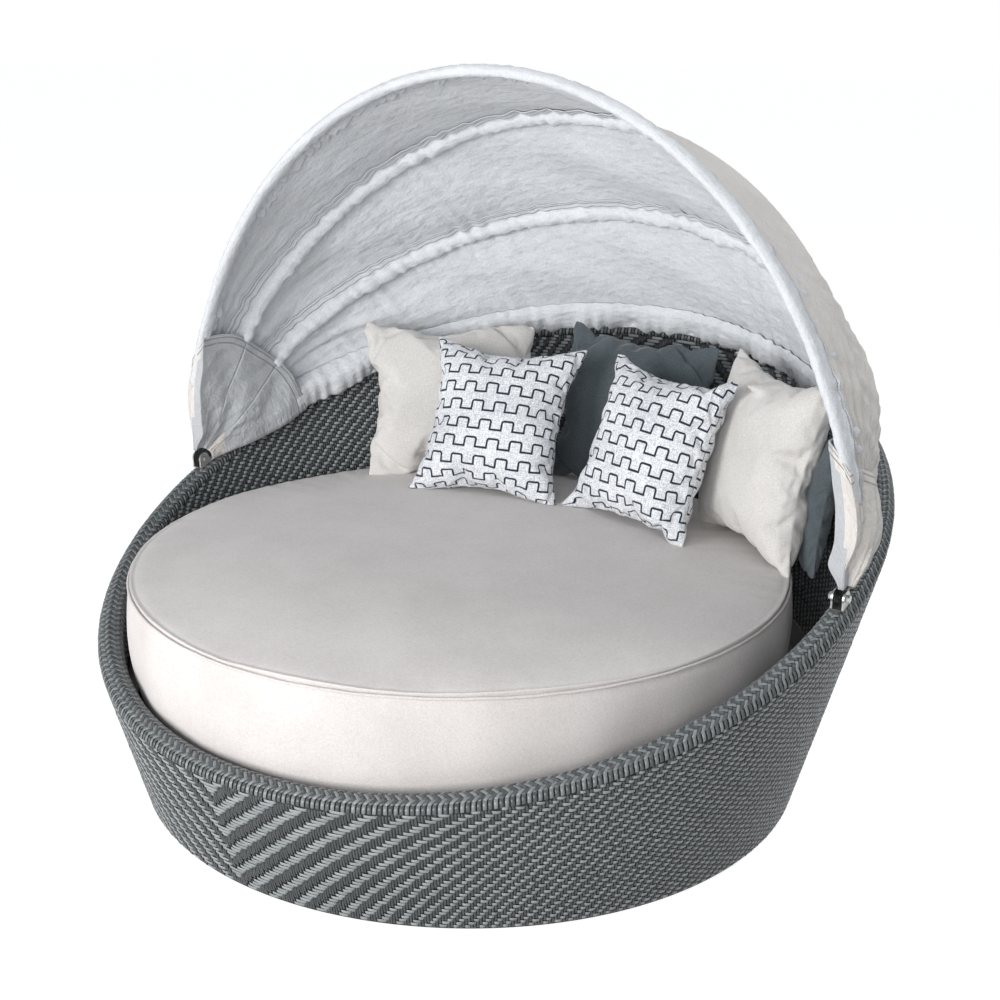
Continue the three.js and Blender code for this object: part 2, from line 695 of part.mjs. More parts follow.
// Corner pockets: a closed band of cloth round the fanned ends of the four bows, open at the
// bottom for the bracket
function pocketGeometry(side) {
  // Each corner: the bow, which edge of it (-1 front, 0 middle, 1 back) and which face
  const last = bows.length - 1;
  const face = (layer) => [[0, -1, layer], ...bows.map((_, i) => [i, 0, layer]), [last, 1, layer]];
  const outline = [...face(1), ...face(-1).reverse()];
  const place = ([index, edge, layer], reach, lift) => {
    const bow = bows[index];
    const share = spreadShare(reach);
    const halfThick = mix(lugThickness, bowTubeDiameter, share) / 2 + pocketEase + lift;
    const halfWide = mix(lugRadius, bowTubeDiameter / 2, share) + running + lift;
    const { x } = bowLine(bow, asin(reach / bow.height));
    return fan(side * (x + layer * halfThick), reach, bow.tilt + edge * asin(halfWide / reach));
  };
  const reaches = spread(pocketRows, pocketStart, pocketRadius);
  const rings = outline.map((corner) => [
    ...reaches.map((reach) => place(corner, reach, clothThickness)),
    ...reaches.map((reach) => place(corner, reach, 0)).reverse(),
  ]);
  return skin(rings, true);
}
for (const [side, sign] of Object.entries(sides)) {
  add(`canopy_pocket_${side}`, pocketGeometry(sign), canopyCloth);
}

// Ties hang from the rear hem inside the rim and are laced to the inner weave
function tieGeometry(x) {
  const rear = bows[3];
  const turn = Math.acos(x / rear.halfWidth);
  const { centre, back } = bowFrame(rear, turn);
  const start = centre.addScaledVector(back, rearHemDrop + bowClear + clothThickness + tieThickness + running);
  const angle = atan2(start.x, -start.y);
  const foot = rimHeight(angle) - rimRollHeight;
  const rollEdge = (layerRadius(foot, wallThickness / 2) - rimRollWidth / 2) * cos(PI / wallColumns);
  const onWall = (z) => layerRadius(z, innerFaceDepth) * cos(PI / wallColumns) - tieClear - tieThickness;
  const path = new THREE.CatmullRomCurve3(
    [
      [hypot(start.x, start.y), start.z],
      [rollEdge - tieThickness - tieClear, foot + rimRollHeight / 2],
      [rollEdge - tieThickness - tieClear, foot],
      [onWall(foot - tieLength / 3), foot - tieLength / 3],
      [onWall(foot - tieLength), foot - tieLength],
    ].map(([radius, z]) => new THREE.Vector3(radius, z, 0)),
  );
  const at = (u, v) => {
    const { x: radius, y: z } = path.getPoint(THREE.MathUtils.clamp(v, 0, 1));
    return polar(angle + (u - 0.5) * (tieWidth / radius), radius, z);
  };
  return sheet(at, spread(1, 0, 1), spread(tieRows, 0, 1), tieThickness, 1);
}
[-1, 1].forEach((place, i) => add(`canopy_tie_${i + 1}`, tieGeometry(place * tieSpread), canopyCloth));

export default daybed;
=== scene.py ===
"""A round woven outdoor daybed with a thick mattress, loose pillows and a folding fan canopy.

Metres, +Z up, the open front towards -Y. Each section models one piece or a group of like pieces.
"""
import math
from functools import partialmethod

import bpy
import numpy as np
from mathutils import Matrix, Vector
from mathutils.bvhtree import BVHTree


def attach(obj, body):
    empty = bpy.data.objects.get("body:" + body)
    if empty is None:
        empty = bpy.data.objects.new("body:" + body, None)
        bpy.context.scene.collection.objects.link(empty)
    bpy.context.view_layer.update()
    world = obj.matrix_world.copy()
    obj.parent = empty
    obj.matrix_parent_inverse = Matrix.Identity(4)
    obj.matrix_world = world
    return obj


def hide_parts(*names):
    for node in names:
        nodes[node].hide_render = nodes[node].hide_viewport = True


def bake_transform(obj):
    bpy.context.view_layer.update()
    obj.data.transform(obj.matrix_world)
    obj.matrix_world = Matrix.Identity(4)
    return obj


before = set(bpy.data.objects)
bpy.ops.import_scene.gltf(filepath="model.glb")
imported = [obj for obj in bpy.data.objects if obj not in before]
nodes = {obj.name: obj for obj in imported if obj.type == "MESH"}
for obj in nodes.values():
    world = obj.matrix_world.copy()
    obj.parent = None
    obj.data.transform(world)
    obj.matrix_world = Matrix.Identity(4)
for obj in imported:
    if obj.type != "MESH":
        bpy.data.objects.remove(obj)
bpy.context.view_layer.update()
bpy.ops.object.select_all(action="DESELECT")


# Camera at the photograph's viewpoint: to the right of the front and a little higher than the
# canopy, with the lens shifted so that the daybed sits where it does in the picture.
view_turn = math.radians(34.5995)
view_height = math.radians(20.2927)
view_distance = 3.8166
picture_side = 1000
lens_pixels = 1585.20
view_centre = (470.02, 567.81)
look_at = Vector((0, 0, 0.5))
towards_eye = Vector((
    math.sin(view_turn) * math.cos(view_height),
    -math.cos(view_turn) * math.cos(view_height),
    math.sin(view_height),
))
bpy.ops.object.camera_add(location=look_at + view_distance * towards_eye)
camera = bpy.context.object
camera.rotation_mode = "QUATERNION"
camera.rotation_quaternion = (-towards_eye).to_track_quat("-Z", "Y")
camera.data.sensor_width = 36
camera.data.lens = lens_pixels / picture_side * 36
camera.data.shift_x = (picture_side / 2 - view_centre[0]) / picture_side
camera.data.shift_y = (view_centre[1] - picture_side / 2) / picture_side
camera.data.clip_end = 100
bpy.context.scene.camera = camera


# Finishes are written as sums of shader values. A Value wraps one socket of a finish, so that plain
# sums, products and comparisons of it add the Math nodes; a Finish holds a material or the world.
class Value:
    def __init__(self, finish, socket):
        self.finish = finish
        self.socket = socket

    def maths(self, operation, *others):
        return self.finish.node("ShaderNodeMath", {"operation": operation}, dict(enumerate((self, *others))))

    def __rsub__(self, other):
        return self.finish.node("ShaderNodeMath", {"operation": "SUBTRACT"}, {0: other, 1: self})

    def rise(self, low, high):
        """0 below low, 1 above high, with a smooth step between."""
        return self.finish.node(
            "ShaderNodeMapRange",
            {"interpolation_type": "SMOOTHSTEP"},
            {"Value": self, "From Min": low, "From Max": high},
        )


for method, operation in (
    ("__add__", "ADD"), ("__radd__", "ADD"), ("__sub__", "SUBTRACT"), ("__mul__", "MULTIPLY"),
    ("__rmul__", "MULTIPLY"), ("__truediv__", "DIVIDE"), ("__abs__", "ABSOLUTE"), ("floor", "FLOOR"),
    ("fract", "FRACT"), ("sine", "SINE"), ("root", "SQRT"), ("least", "MINIMUM"), ("most", "MAXIMUM"),
):
    setattr(Value, method, partialmethod(Value.maths, operation))


class Finish:
    def __init__(self, name, owner=None):
        self.material = owner or bpy.data.materials.new(name)
        self.material.use_nodes = True
        self.tree = self.material.node_tree
        self.tree.nodes.clear()

    def node(self, kind, settings=None, sockets=None, output=0):
        """Adds a node: its settings first, then its sockets' values or links."""
        made = self.tree.nodes.new(kind)
        for name, value in (settings or {}).items():
            if name == "stops":
                while len(made.color_ramp.elements) < len(value):
                    made.color_ramp.elements.new(0.5)
                for element, (place, color) in zip(made.color_ramp.elements, value):
                    element.position = place
                    element.color = (*color, 1)
            else:
                setattr(made, name, value)
        for name, value in (sockets or {}).items():
            if isinstance(value, Value):
                self.tree.links.new(value.socket, made.inputs[name])
            elif isinstance(value, tuple) and len(value) == 3 and made.inputs[name].type == "RGBA":
                made.inputs[name].default_value = (*value, 1)
            else:
                made.inputs[name].default_value = value
        return Value(self, made.outputs[output]) if len(made.outputs) else None

    def place(self):
        """Where a point of the piece is, in metres."""
        return self.node("ShaderNodeTexCoord", output="Object")

    def flat(self):
        """Where a point lies on the flat cloth or strap, in metres."""
        return self.node("ShaderNodeUVMap", {"uv_map": "flat"})

    def parts(self, vector):
        first = self.node("ShaderNodeSeparateXYZ", {}, {0: vector})
        return [Value(self, output) for output in first.socket.node.outputs]

    def mark(self, name):
        return self.node("ShaderNodeAttribute", {"attribute_name": name}, output="Fac")

    def noise(self, vector, scale, detail=2.0, roughness=0.5, stretch=(1, 1, 1)):
        stretched = self.node("ShaderNodeMapping", {}, {"Vector": vector, "Scale": stretch})
        sockets = {"Vector": stretched, "Scale": scale, "Detail": detail, "Roughness": roughness}
        return self.node("ShaderNodeTexNoise", {}, sockets)

    def blend(self, share, first, second):
        sockets = {0: share, 6: first, 7: second}
        return self.node("ShaderNodeMix", {"data_type": "RGBA"}, sockets, output=2)

    def relief(self, height, distance, strength=1.0, under=None):
        sockets = {"Height": height, "Distance": distance, "Strength": strength}
        if under is not None:
            sockets["Normal"] = under
        return self.node("ShaderNodeBump", {}, sockets)

    def close(self, sockets):
        """Ends the material with its surface shader."""
        shader = self.node("ShaderNodeBsdfPrincipled", {}, sockets)
        self.node("ShaderNodeOutputMaterial", {}, {"Surface": shader})
        return self.material


# The studio: a pale floor that glows and keeps only the daybed's soft shadow, a white surround, a
# broad lamp before the front with a weaker one to its right, a faint one at the left, and one high
# up behind.
floor_glow, floor_glow_share = 1.50, 0.62
surround_glow = 0.36
lamp_target = Vector((0, 0, 0.6))
bpy.ops.mesh.primitive_plane_add(size=60, location=(0, 0, 0))
floor = bpy.context.object
floor.name = "studio_floor"
pale = Finish("studio_floor")
seen = pale.node("ShaderNodeLightPath", output="Is Camera Ray")
mirrored = pale.node("ShaderNodeLightPath", output="Is Glossy Ray")
glow = pale.node("ShaderNodeEmission", {}, {"Color": (1.0, 1.0, 1.0), "Strength": floor_glow})
matt = pale.node("ShaderNodeBsdfDiffuse", {}, {"Color": (0.5, 0.5, 0.5)})
lit = pale.node("ShaderNodeMixShader", {}, {0: seen.most(mirrored) * floor_glow_share, 1: matt, 2: glow})
pale.node("ShaderNodeOutputMaterial", {}, {"Surface": lit})
floor.data.materials.append(pale.material)

surround = bpy.data.worlds.new("studio_surround")
bpy.context.scene.world = surround
sky = Finish("studio_surround", surround)
seen = sky.node("ShaderNodeLightPath", output="Is Camera Ray")
soft = sky.node("ShaderNodeBackground", {}, {"Color": (0.92, 0.96, 1.0), "Strength": surround_glow})
white = sky.node("ShaderNodeBackground", {}, {"Color": (1.0, 1.0, 1.0)})
both = sky.node("ShaderNodeMixShader", {}, {0: seen, 1: soft, 2: white})
sky.node("ShaderNodeOutputWorld", {}, {"Surface": both})

for lamp_name, place, size, power, tint in (
    ("front_lamp", (-1.2, -5.4, 1.8), 2.6, 262, (1.0, 0.995, 0.99)),
    ("fill_lamp", (2.1, -5.0, 2.0), 2.2, 100, (1.0, 0.995, 0.99)),
    ("left_lamp", (-4.6, -1.3, 1.2), 1.6, 5, (0.97, 0.99, 1.0)),
    ("back_lamp", (1.9, 2.4, 4.7), 2.4, 104, (0.97, 0.98, 1.0)),
):
    bpy.ops.object.light_add(type="AREA", location=place)
    lamp = bpy.context.object
    lamp.name = lamp_name
    lamp.data.size = size
    lamp.data.energy = power
    lamp.data.color = tint
    lamp.rotation_mode = "QUATERNION"
    lamp.rotation_quaternion = (lamp_target - Vector(place)).to_track_quat("-Z", "Y")

bpy.context.scene.view_settings.view_transform = "Standard"


# The tub's wall: flat graphite synthetic strap, 5 to 7 mm wide, in a twill on both faces of a welded
# frame. Its ribs climb to the right on one half and to the left on the other, and the halves meet at
# the front and at the back. Each float is an arched strap that dives under the next.
wall_at_floor = 0.79302
wall_lean = 0.266
wall_slope = math.hypot(1, wall_lean)
wall_thickness = 0.055
rim_front, rim_back, rim_power = 0.321, 0.920, 1.22
roll_half_width, roll_height = 0.030, 0.030
strap_pitch = 0.0088
strap_columns, strap_rows = 840, 112
strap_depth = 0.0010
backing_near, backing_far = 0.0028, 0.005
deck_top = 0.2625


def rim_height(turn):
    return rim_front + (rim_back - rim_front) * ((1 - np.cos(turn)) / 2) ** rim_power


def wall_radius(z, depth=0.0):
    return wall_at_floor + wall_lean * z - depth * wall_slope


def round_about(turn, radius, z):
    return np.stack(np.broadcast_arrays(radius * np.sin(turn), -radius * np.cos(turn), z), -1)


def mesh_of(name, points, faces, flat=None, marks=None):
    """A new object from arrays of points and of faces that all have as many corners."""
    data = bpy.data.meshes.new(name)
    points = np.asarray(points, np.float32).reshape(-1, 3)
    faces = np.asarray(faces, np.int32)
    corners = faces.shape[1]
    data.vertices.add(len(points))
    data.vertices.foreach_set("co", points.ravel())
    data.loops.add(faces.size)
    data.loops.foreach_set("vertex_index", faces.ravel())
    data.polygons.add(len(faces))
    data.polygons.foreach_set("loop_start", np.arange(len(faces), dtype=np.int32) * corners)
    data.update(calc_edges=True)
    data.polygons.foreach_set("use_smooth", np.ones(len(faces), bool))
    if flat is not None:
        layer = data.uv_layers.new(name="flat")
        layer.data.foreach_set("uv", np.asarray(flat, np.float32)[faces.ravel()].ravel())
    for mark, values in (marks or {}).items():
        attribute = data.attributes.new(mark, "FLOAT", "POINT")
        attribute.data.foreach_set("value", np.asarray(values, np.float32).ravel())
    made = bpy.data.objects.new(name, data)
    bpy.context.scene.collection.objects.link(made)
    return made


def grid_faces(rows, columns, endless=False):
    """Quads between rows x columns points; endless joins the last row to the first."""
    first = np.arange(rows if endless else rows - 1)
    second = (first + 1) % rows
    across = np.arange(columns - 1)
    a = (first[:, None] * columns + across).ravel()
    b = (second[:, None] * columns + across).ravel()
    return np.stack([a, b, b + 1, a + 1], -1)


def mend(made, capped=False):
    """Welds a mesh's seam, or caps its open ends, and turns its faces outwards."""
    bpy.context.view_layer.objects.active = made
    made.select_set(True)
    bpy.ops.object.mode_set(mode="EDIT")
    if capped:
        bpy.ops.mesh.select_all(action="DESELECT")
        bpy.ops.mesh.select_non_manifold(extend=False)
        bpy.ops.mesh.fill_holes(sides=0)
    bpy.ops.mesh.select_all(action="SELECT")
    if not capped:
        bpy.ops.mesh.remove_doubles(threshold=1e-5)
    bpy.ops.mesh.normals_make_consistent(inside=False)
    bpy.ops.object.mode_set(mode="OBJECT")
    made.select_set(False)


def closed_band(name, rings):
    """A closed ring of cloth or weave from sections that each run round it."""
    rings = np.asarray(rings)
    rows, columns = rings.shape[:2]
    wrapped = np.concatenate([rings, rings[:, :1]], 1)
    made = mesh_of(name, wrapped, grid_faces(rows, columns + 1, endless=True))
    mend(made)
    return made


def dress(made, finish, body, replaced):
    """Gives a piece its finish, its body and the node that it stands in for."""
    made.data.materials.append(finish)
    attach(made, body)
    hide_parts(replaced)


def smooth_share(t):
    s = np.clip(t, 0, 1)
    return s * s * (3 - 2 * s)


# One strap float, modelled flat: both ends bent down to dive under the next strap, and its edges
# rounded over
bpy.ops.mesh.primitive_grid_add(x_subdivisions=4, y_subdivisions=3, size=2)
float_strap = bpy.context.object
float_points = np.array([v.co for v in float_strap.data.vertices])
float_faces = np.array([p.vertices for p in float_strap.data.polygons])
bpy.data.objects.remove(float_strap)
bend = 0.62
float_width = 0.82
along, across = float_points[:, 0], float_points[:, 1]
along_share = np.sign(along) * np.interp(np.abs(along), [0, 0.5, 1], [0, bend, 1])
across_share = np.sign(across) * np.interp(np.abs(across), [0, 0.34, 1], [0, 0.52, 1])
float_height = np.interp(np.abs(along_share), [0, bend, 1], [0.0024, 0.0017, -0.0030])
float_height -= 0.0015 * across_share ** 2
skew_spread, lift_spread = 0.022, 0.00022


def lay_straps(name, surface, centres, turned, lengths, flip=False, width=float_width, highlight_share=None):
    """Lays a copy of the strap float at each centre, in cells of a surface that gives points and
    normals for two arrays of cell coordinates."""
    random = np.random.default_rng(len(centres))
    count = len(centres)
    x = along_share[None] * np.broadcast_to(lengths, count)[:, None] / 2
    y = np.repeat(across_share[None] * width / 2, count, 0)
    skew = random.normal(0, skew_spread, (count, 1))
    cosine, sine = np.cos(turned)[:, None], np.sin(turned)[:, None]
    u = centres[:, :1] + x * cosine - (y + x * skew) * sine
    v = centres[:, 1:] + x * sine + (y + x * skew) * cosine
    lift = float_height[None] + random.normal(0, lift_spread, (count, 1))
    points, normals = surface(u, v)
    points = points + normals * lift[..., None]
    each = len(float_points)
    faces = (float_faces[None] + np.arange(count)[:, None, None] * each).reshape(-1, 4)
    if flip:
        faces = faces[:, ::-1]
    flat = np.stack([x * strap_pitch, y * strap_pitch], -1).reshape(-1, 2)
    strand = np.repeat(random.random(count), each)
    dive = np.repeat(np.abs(along_share)[None], count, 0).ravel()
    # Level straps, or the shares given, take the level colour and its painted highlight.
    level = np.repeat(np.cos(turned) > 0.5 if highlight_share is None else highlight_share, each)
    return mesh_of(name, points, faces, flat, {"strand": strand, "dive": dive, "level": level})


def wall_surface(depth, outwards):
    """The wall's face at a depth, in columns round the tub and rows up it."""
    normal_z = -wall_lean / wall_slope
    normal_out = 1 / wall_slope

    def surface(u, v):
        turn = u / strap_columns * 2 * math.pi
        z = v * strap_pitch
        points = round_about(turn, wall_radius(z, depth), z)
        normals = round_about(turn, normal_out, normal_z)
        return points, normals * outwards

    return surface


chevron_column = -9
level_row = 18
front_period, side_shortening = 6.4, 3.0
front_climb, side_climb = 0.311, 0.053
finer_from, finer_over, broader_from, broader_over = 0.18, 0.62, 2.3, 0.6
longest_float = 17
upright_tuck, level_tuck = 0.25, 0.55


def twill_plan(row_top):
    """Where the upright straps lie over the level ones: a grid of columns round the tub and rows up
    it. The ribs are broad at the front and at the back and get finer towards the sides."""
    columns, rows = np.meshgrid(np.arange(strap_columns), np.arange(strap_rows), indexing="ij")
    away = (np.arange(strap_columns) - chevron_column) % strap_columns
    away = np.minimum(away, strap_columns - away)
    from_front = away / strap_columns * 2 * math.pi
    side = smooth_share((from_front - finer_from) / finer_over)
    side -= smooth_share((from_front - broader_from) / broader_over)
    period = front_period - side_shortening * side
    outward = np.argsort(away, kind="stable")
    climb = np.zeros(strap_columns)
    climb[outward] = np.cumsum((front_climb + side_climb * side[outward]) / period[outward])
    phase = (rows - level_row) / period[:, None] - climb[:, None]
    upright = (phase % 1) < 0.5
    shown = rows + 1 < row_top(columns / strap_columns * 2 * math.pi)
    return upright, shown

def strap_runs(over, shown, endless):
    """Start and length of each unbroken run of cells that a strap lies over, along the last axis."""
    cells = over.shape[1]
    on = over & shown
    before = np.roll(on, 1, 1) if endless else np.pad(on, ((0, 0), (1, 0)))[:, :-1]
    starts = np.argwhere(on & ~before)
    after = np.roll(on, -1, 1) if endless else np.pad(on, ((0, 0), (0, 1)))[:, 1:]
    ends = np.argwhere(on & ~after)
    if endless:
        fixed = []
        for line in np.unique(starts[:, 0]):
            first = starts[starts[:, 0] == line, 1]
            last = ends[ends[:, 0] == line, 1]
            if last[0] < first[0]:
                last = np.append(last[1:], last[0] + cells)
            fixed.append(np.stack([np.full(len(first), line), first, last - first + 1], 1))
        return np.concatenate(fixed)
    return np.stack([starts[:, 0], starts[:, 1], ends[:, 1] - starts[:, 1] + 1], 1)


def twill_floats(row_low, row_top):
    """Centres, turns and lengths of the floats on a wall's face, in cells."""
    upright, shown = twill_plan(row_top)
    shown[:, :row_low] = False
    standing = strap_runs(upright, shown, False)
    level = strap_runs((~upright).T, shown.T, True)
    level = level[level[:, 2] < longest_float]
    centres = np.concatenate([
        np.stack([standing[:, 0] + 0.5, standing[:, 1] + standing[:, 2] / 2], 1),
        np.stack([level[:, 1] + level[:, 2] / 2, level[:, 0] + 0.5], 1),
    ])
    turned = np.concatenate([np.full(len(standing), math.pi / 2), np.zeros(len(level))])
    lengths = np.concatenate([standing[:, 2] + upright_tuck, level[:, 2] + level_tuck])
    order = np.argsort(centres[:, 0] % strap_columns, kind="stable")
    return centres[order], turned[order], lengths[order]


def roll_foot_rows(turn):
    """The row of straps at which the rim's roll begins."""
    return (rim_height(turn) - roll_height + 0.004) / strap_pitch


strap = Finish("woven_strap")
_, side, _ = strap.parts(strap.flat())
grooves = (side * 5200).sine() * 0.5 + 0.5
streaks = strap.noise(strap.flat(), 900, 3, 0.6, (0.06, 1, 1))
shade = strap.mark("strand") * 0.5 + streaks * 0.5
dived = strap.mark("dive").rise(0.56, 0.96)
# Level straps are painted far paler than upright ones: a painted highlight for the sheen they catch from the
# lamps, not a paler strap.
upright_color = strap.blend(shade, (0.034, 0.038, 0.040), (0.074, 0.082, 0.086))
level_highlight_color = strap.blend(shade, (0.185, 0.202, 0.209), (0.330, 0.352, 0.360))
strap_color = strap.blend(strap.mark("level"), upright_color, level_highlight_color)
# Where a float's ends dive under the next strap they are painted near-black: painted shade under the crossing
# strap.
strap_color = strap.blend(dived * 0.9, strap_color, (0.005, 0.006, 0.006))
strap_relief = strap.relief(grooves * 0.6 + streaks * 0.4, 0.00022, 0.6)
woven_strap = strap.close({
    "Base Color": strap_color,
    "Roughness": 0.24 + shade * 0.12 + dived * 0.4,
    "Specular IOR Level": 0.45,
    "Normal": strap_relief,
})


def grained(name, tones, grain, rough, bump, metal=0.0, patches=None):
    """A plain finish with a fine grain. Its tone follows the grain, or soft patches of this scale."""
    plain = Finish(name)
    fine = plain.noise(plain.place(), *grain)
    tone = plain.noise(plain.place(), patches, 3) if patches else fine
    return plain.close({
        "Base Color": plain.blend(tone, *tones),
        "Roughness": rough[0] + fine * rough[1],
        "Metallic": metal,
        "Normal": plain.relief(fine, bump, 0.5),
    })


# The sheet behind the straps and the rim's core are near-black: painted shade, standing for the shade inside
# the hollow wall seen through the gaps.
gap_shade_tones = (0.004, 0.0045, 0.005), (0.010, 0.011, 0.012)
strap_gap_shade = grained("strap_gap_shade", gap_shade_tones, (260, 3), (0.6, 0.2), 0.0006)


def backing(name, low, depths, replaced):
    """A near-black sheet behind the straps of one face, up to the roll: painted shade seen through the gaps
    between them.
    """
    rings = []
    for turn in np.arange(240) / 240 * 2 * math.pi:
        top = rim_height(turn) - roll_height
        heights = np.array([low, top, top, low])
        rings.append(round_about(turn, wall_radius(heights, np.repeat(depths, 2)), heights))
    dress(closed_band(name, rings), strap_gap_shade, "tub", replaced)


centres, turned, lengths = twill_floats(1, roll_foot_rows)
for number, part in enumerate(np.array_split(np.arange(len(centres)), 4)):
    name = f"outer_weave_straps_{number + 1}"
    straps = lay_straps(name, wall_surface(strap_depth, 1), centres[part], turned[part], lengths[part])
    dress(straps, woven_strap, "tub", "outer_weave")
backing("outer_weave_backing", 0.005, (backing_near, backing_far), "outer_weave")

# The inner face shows above the mattress and down the gap round it, so its straps start there
centres, turned, lengths = twill_floats(36, roll_foot_rows)
face = wall_surface(wall_thickness - strap_depth, -1)
straps = lay_straps("inner_weave_straps", face, centres, turned, lengths, flip=True)
dress(straps, woven_strap, "tub", "inner_weave")
depths = (wall_thickness - backing_far, wall_thickness - backing_near)
backing("inner_weave_backing", deck_top, depths, "inner_weave")


# The rim: the same strap braided over the roll. Short bars wrap its outer and inner edges, and
# between them four lanes of slanted straps meet along the top in two herringbones.
braid_count = 560
braid_width = 0.70
# Every other rim strap takes more of the level straps' painted highlight colour: painted glints along the
# braid.
rim_highlight_least, rim_highlight_step = 0.12, 0.55
rim_line_turns = np.linspace(-math.pi, math.pi, 4001)


def rim_middle(turn):
    foot = rim_height(turn) - roll_height
    return round_about(turn, wall_radius(foot, wall_thickness / 2), foot)


def length_along(points):
    """How far along a line of points each of them lies."""
    return np.concatenate([[0], np.cumsum(np.linalg.norm(np.diff(points, axis=0), axis=1))])


rim_line = rim_middle(rim_line_turns)
rim_run = length_along(rim_line)
braid_pitch = rim_run[-1] / braid_count
arch_cells = math.pi * (roll_half_width + 0.001) / braid_pitch


def rim_point(u, v, grow=0.0):
    turn = np.interp(np.mod(u, braid_count) * braid_pitch, rim_run, rim_line_turns)
    swing = v / arch_cells * math.pi
    foot = rim_height(turn) - roll_height
    radius = wall_radius(foot, wall_thickness / 2) + (roll_half_width + grow) * np.cos(swing)
    return round_about(turn, radius, foot + (roll_height + grow) * np.sin(swing))


def rim_surface(u, v):
    step = 0.05
    along_rim = rim_point(u + step, v) - rim_point(u - step, v)
    over_rim = rim_point(u, v + step) - rim_point(u, v - step)
    normals = np.cross(along_rim, over_rim)
    normals /= np.linalg.norm(normals, axis=-1, keepdims=True)
    return rim_point(u, v, -0.0012), normals


braid_lanes = (
    # place over the roll as a share of the arch, turn of the straps, their length in cells
    (0.12, 90, 2.7),
    (0.29, 48, 2.5),
    (0.44, 132, 2.5),
    (0.59, 48, 2.5),
    (0.73, 132, 2.5),
    (0.89, 90, 2.5),
)
braid_centres, braid_turned, braid_lengths = [], [], []
for lane, (share, turn, length) in enumerate(braid_lanes):
    u = np.arange(braid_count) + 0.5 * (lane % 2)
    braid_centres.append(np.stack([u, np.full(braid_count, share * arch_cells)], -1))
    braid_turned.append(np.full(braid_count, math.radians(turn)))
    braid_lengths.append(np.full(braid_count, length))
rim_straps = lay_straps(
    "rim_braid_straps",
    rim_surface,
    np.concatenate(braid_centres),
    np.concatenate(braid_turned),
    np.concatenate(braid_lengths),
    width=braid_width,
    highlight_share=np.tile(np.arange(braid_count) % 2 > 0, len(braid_lanes)) * rim_highlight_step + rim_highlight_least,
)
dress(rim_straps, woven_strap, "tub", "rim_braid")
core_rings = []
for u in np.arange(240) / 240 * braid_count:
    v = np.linspace(0, arch_cells, 12)
    core_rings.append(np.concatenate([rim_point(u, v, -0.0032), rim_point(u, v[::-1], -0.006)]))
# The braid's core wears the same near-black: painted shade in the gaps between the rim's straps.
dress(closed_band("rim_braid_core", core_rings), strap_gap_shade, "tub", "rim_braid")


# The welded frame, the deck under the mattress and the canopy's bows: powder-coated tube and bar,
# with bare steel at the pivots and rubber feet. They keep their own shapes and get their coats here.
coat_tones = (0.036, 0.038, 0.040), (0.056, 0.058, 0.061)
deck_tones = (0.080, 0.085, 0.090), (0.115, 0.120, 0.125)
steel_tones = (0.40, 0.40, 0.39), (0.62, 0.62, 0.61)
rubber_tones = (0.016, 0.016, 0.016), (0.034, 0.033, 0.032)
powder_coat = grained("powder_coat", coat_tones, (900, 3, 0.6), (0.42, 0.16), 0.00025, 0.35, 9)
deck_coat = grained("deck_coat", deck_tones, (900, 3, 0.6), (0.45, 0.15), 0.00025, 0.3, 7)
brushed = (700, 3, 0.6, (0.08, 1, 1))
bracket_steel = grained("bracket_steel", steel_tones, brushed, (0.24, 0.2), 0.0001, 1.0, 60)
foot_rubber = grained("foot_rubber", rubber_tones, (500, 3), (0.7, 0.15), 0.0004)
for name, node in nodes.items():
    if name.startswith(("frame_", "bow_")) or name in ("deck_ring", "deck_centre_leg"):
        finish = powder_coat
    elif name.startswith("deck_"):
        finish = deck_coat
    elif name.startswith(("canopy_bracket", "pivot_")):
        finish = bracket_steel
    elif name.startswith(("floor_glide", "centre_foot")):
        finish = foot_rubber
    else:
        continue
    node.data.materials.clear()
    node.data.materials.append(finish)


# The mattress: thick foam in a stone canvas cover, boxed, with a piped seam round its top edge, a
# low crown, and the cover drawn into short radial puckers where it is pulled down at the seam.
mattress_radius = 0.780
mattress_base_radius = 0.774
mattress_left, mattress_back = -0.016, -0.020
mattress_bottom = deck_top
mattress_corner = 0.026
seam_height = 0.521
mattress_crown = 0.044
mattress_columns = 320


def crown_height(radius):
    share = np.clip(radius, 0, mattress_radius) / mattress_radius
    return seam_height + mattress_crown * (1 - share ** 2.6)


def wave(place, seed, count=5, low=1.0, high=3.0):
    """A smooth wandering value for places in waves: a sum of sines with seeded turns and rates."""
    random = np.random.default_rng(seed)
    total = np.zeros(np.shape(place))
    for _ in range(count):
        rate = random.uniform(low, high)
        total = total + np.sin(np.asarray(place) * rate * 2 * math.pi + random.uniform(0, 6.283))
    return total / math.sqrt(count)


def fade(distance, reach):
    return np.exp(-distance / reach)


def hump(place, middle, width):
    return np.exp(-((place - middle) / width) ** 2)


def on_mattress(points):
    """Moves points that were made about the tub's middle to the mattress's."""
    return np.asarray(points) + (mattress_left, mattress_back, 0)


def canvas(name, dark, light, heather=0.5, flecks=1.0, uv=False):
    """A plain-woven outdoor canvas: crossing yarns with slubs, flecks and a soft, cloudy nap."""
    cloth = Finish(name)
    where = cloth.flat() if uv else cloth.place()
    yarn_x = cloth.noise(where, 520, 3, 0.65, (0.10, 1, 1))
    yarn_y = cloth.noise(where, 520, 3, 0.65, (1, 0.10, 1))
    fleck = cloth.noise(where, 240, 4, 0.75)
    cloud = cloth.noise(where, 6, 4, 0.55)
    mottle = (yarn_x + yarn_y - 1) * heather + (fleck - 0.5) * flecks + (cloud - 0.5) * 0.5 + 0.5
    cloth.color = cloth.blend(mottle.rise(0.18, 0.82), dark, light)
    cloth.bump = cloth.relief((yarn_x + yarn_y) * 0.5 + fleck * 0.5, 0.0009, 0.55)
    return cloth


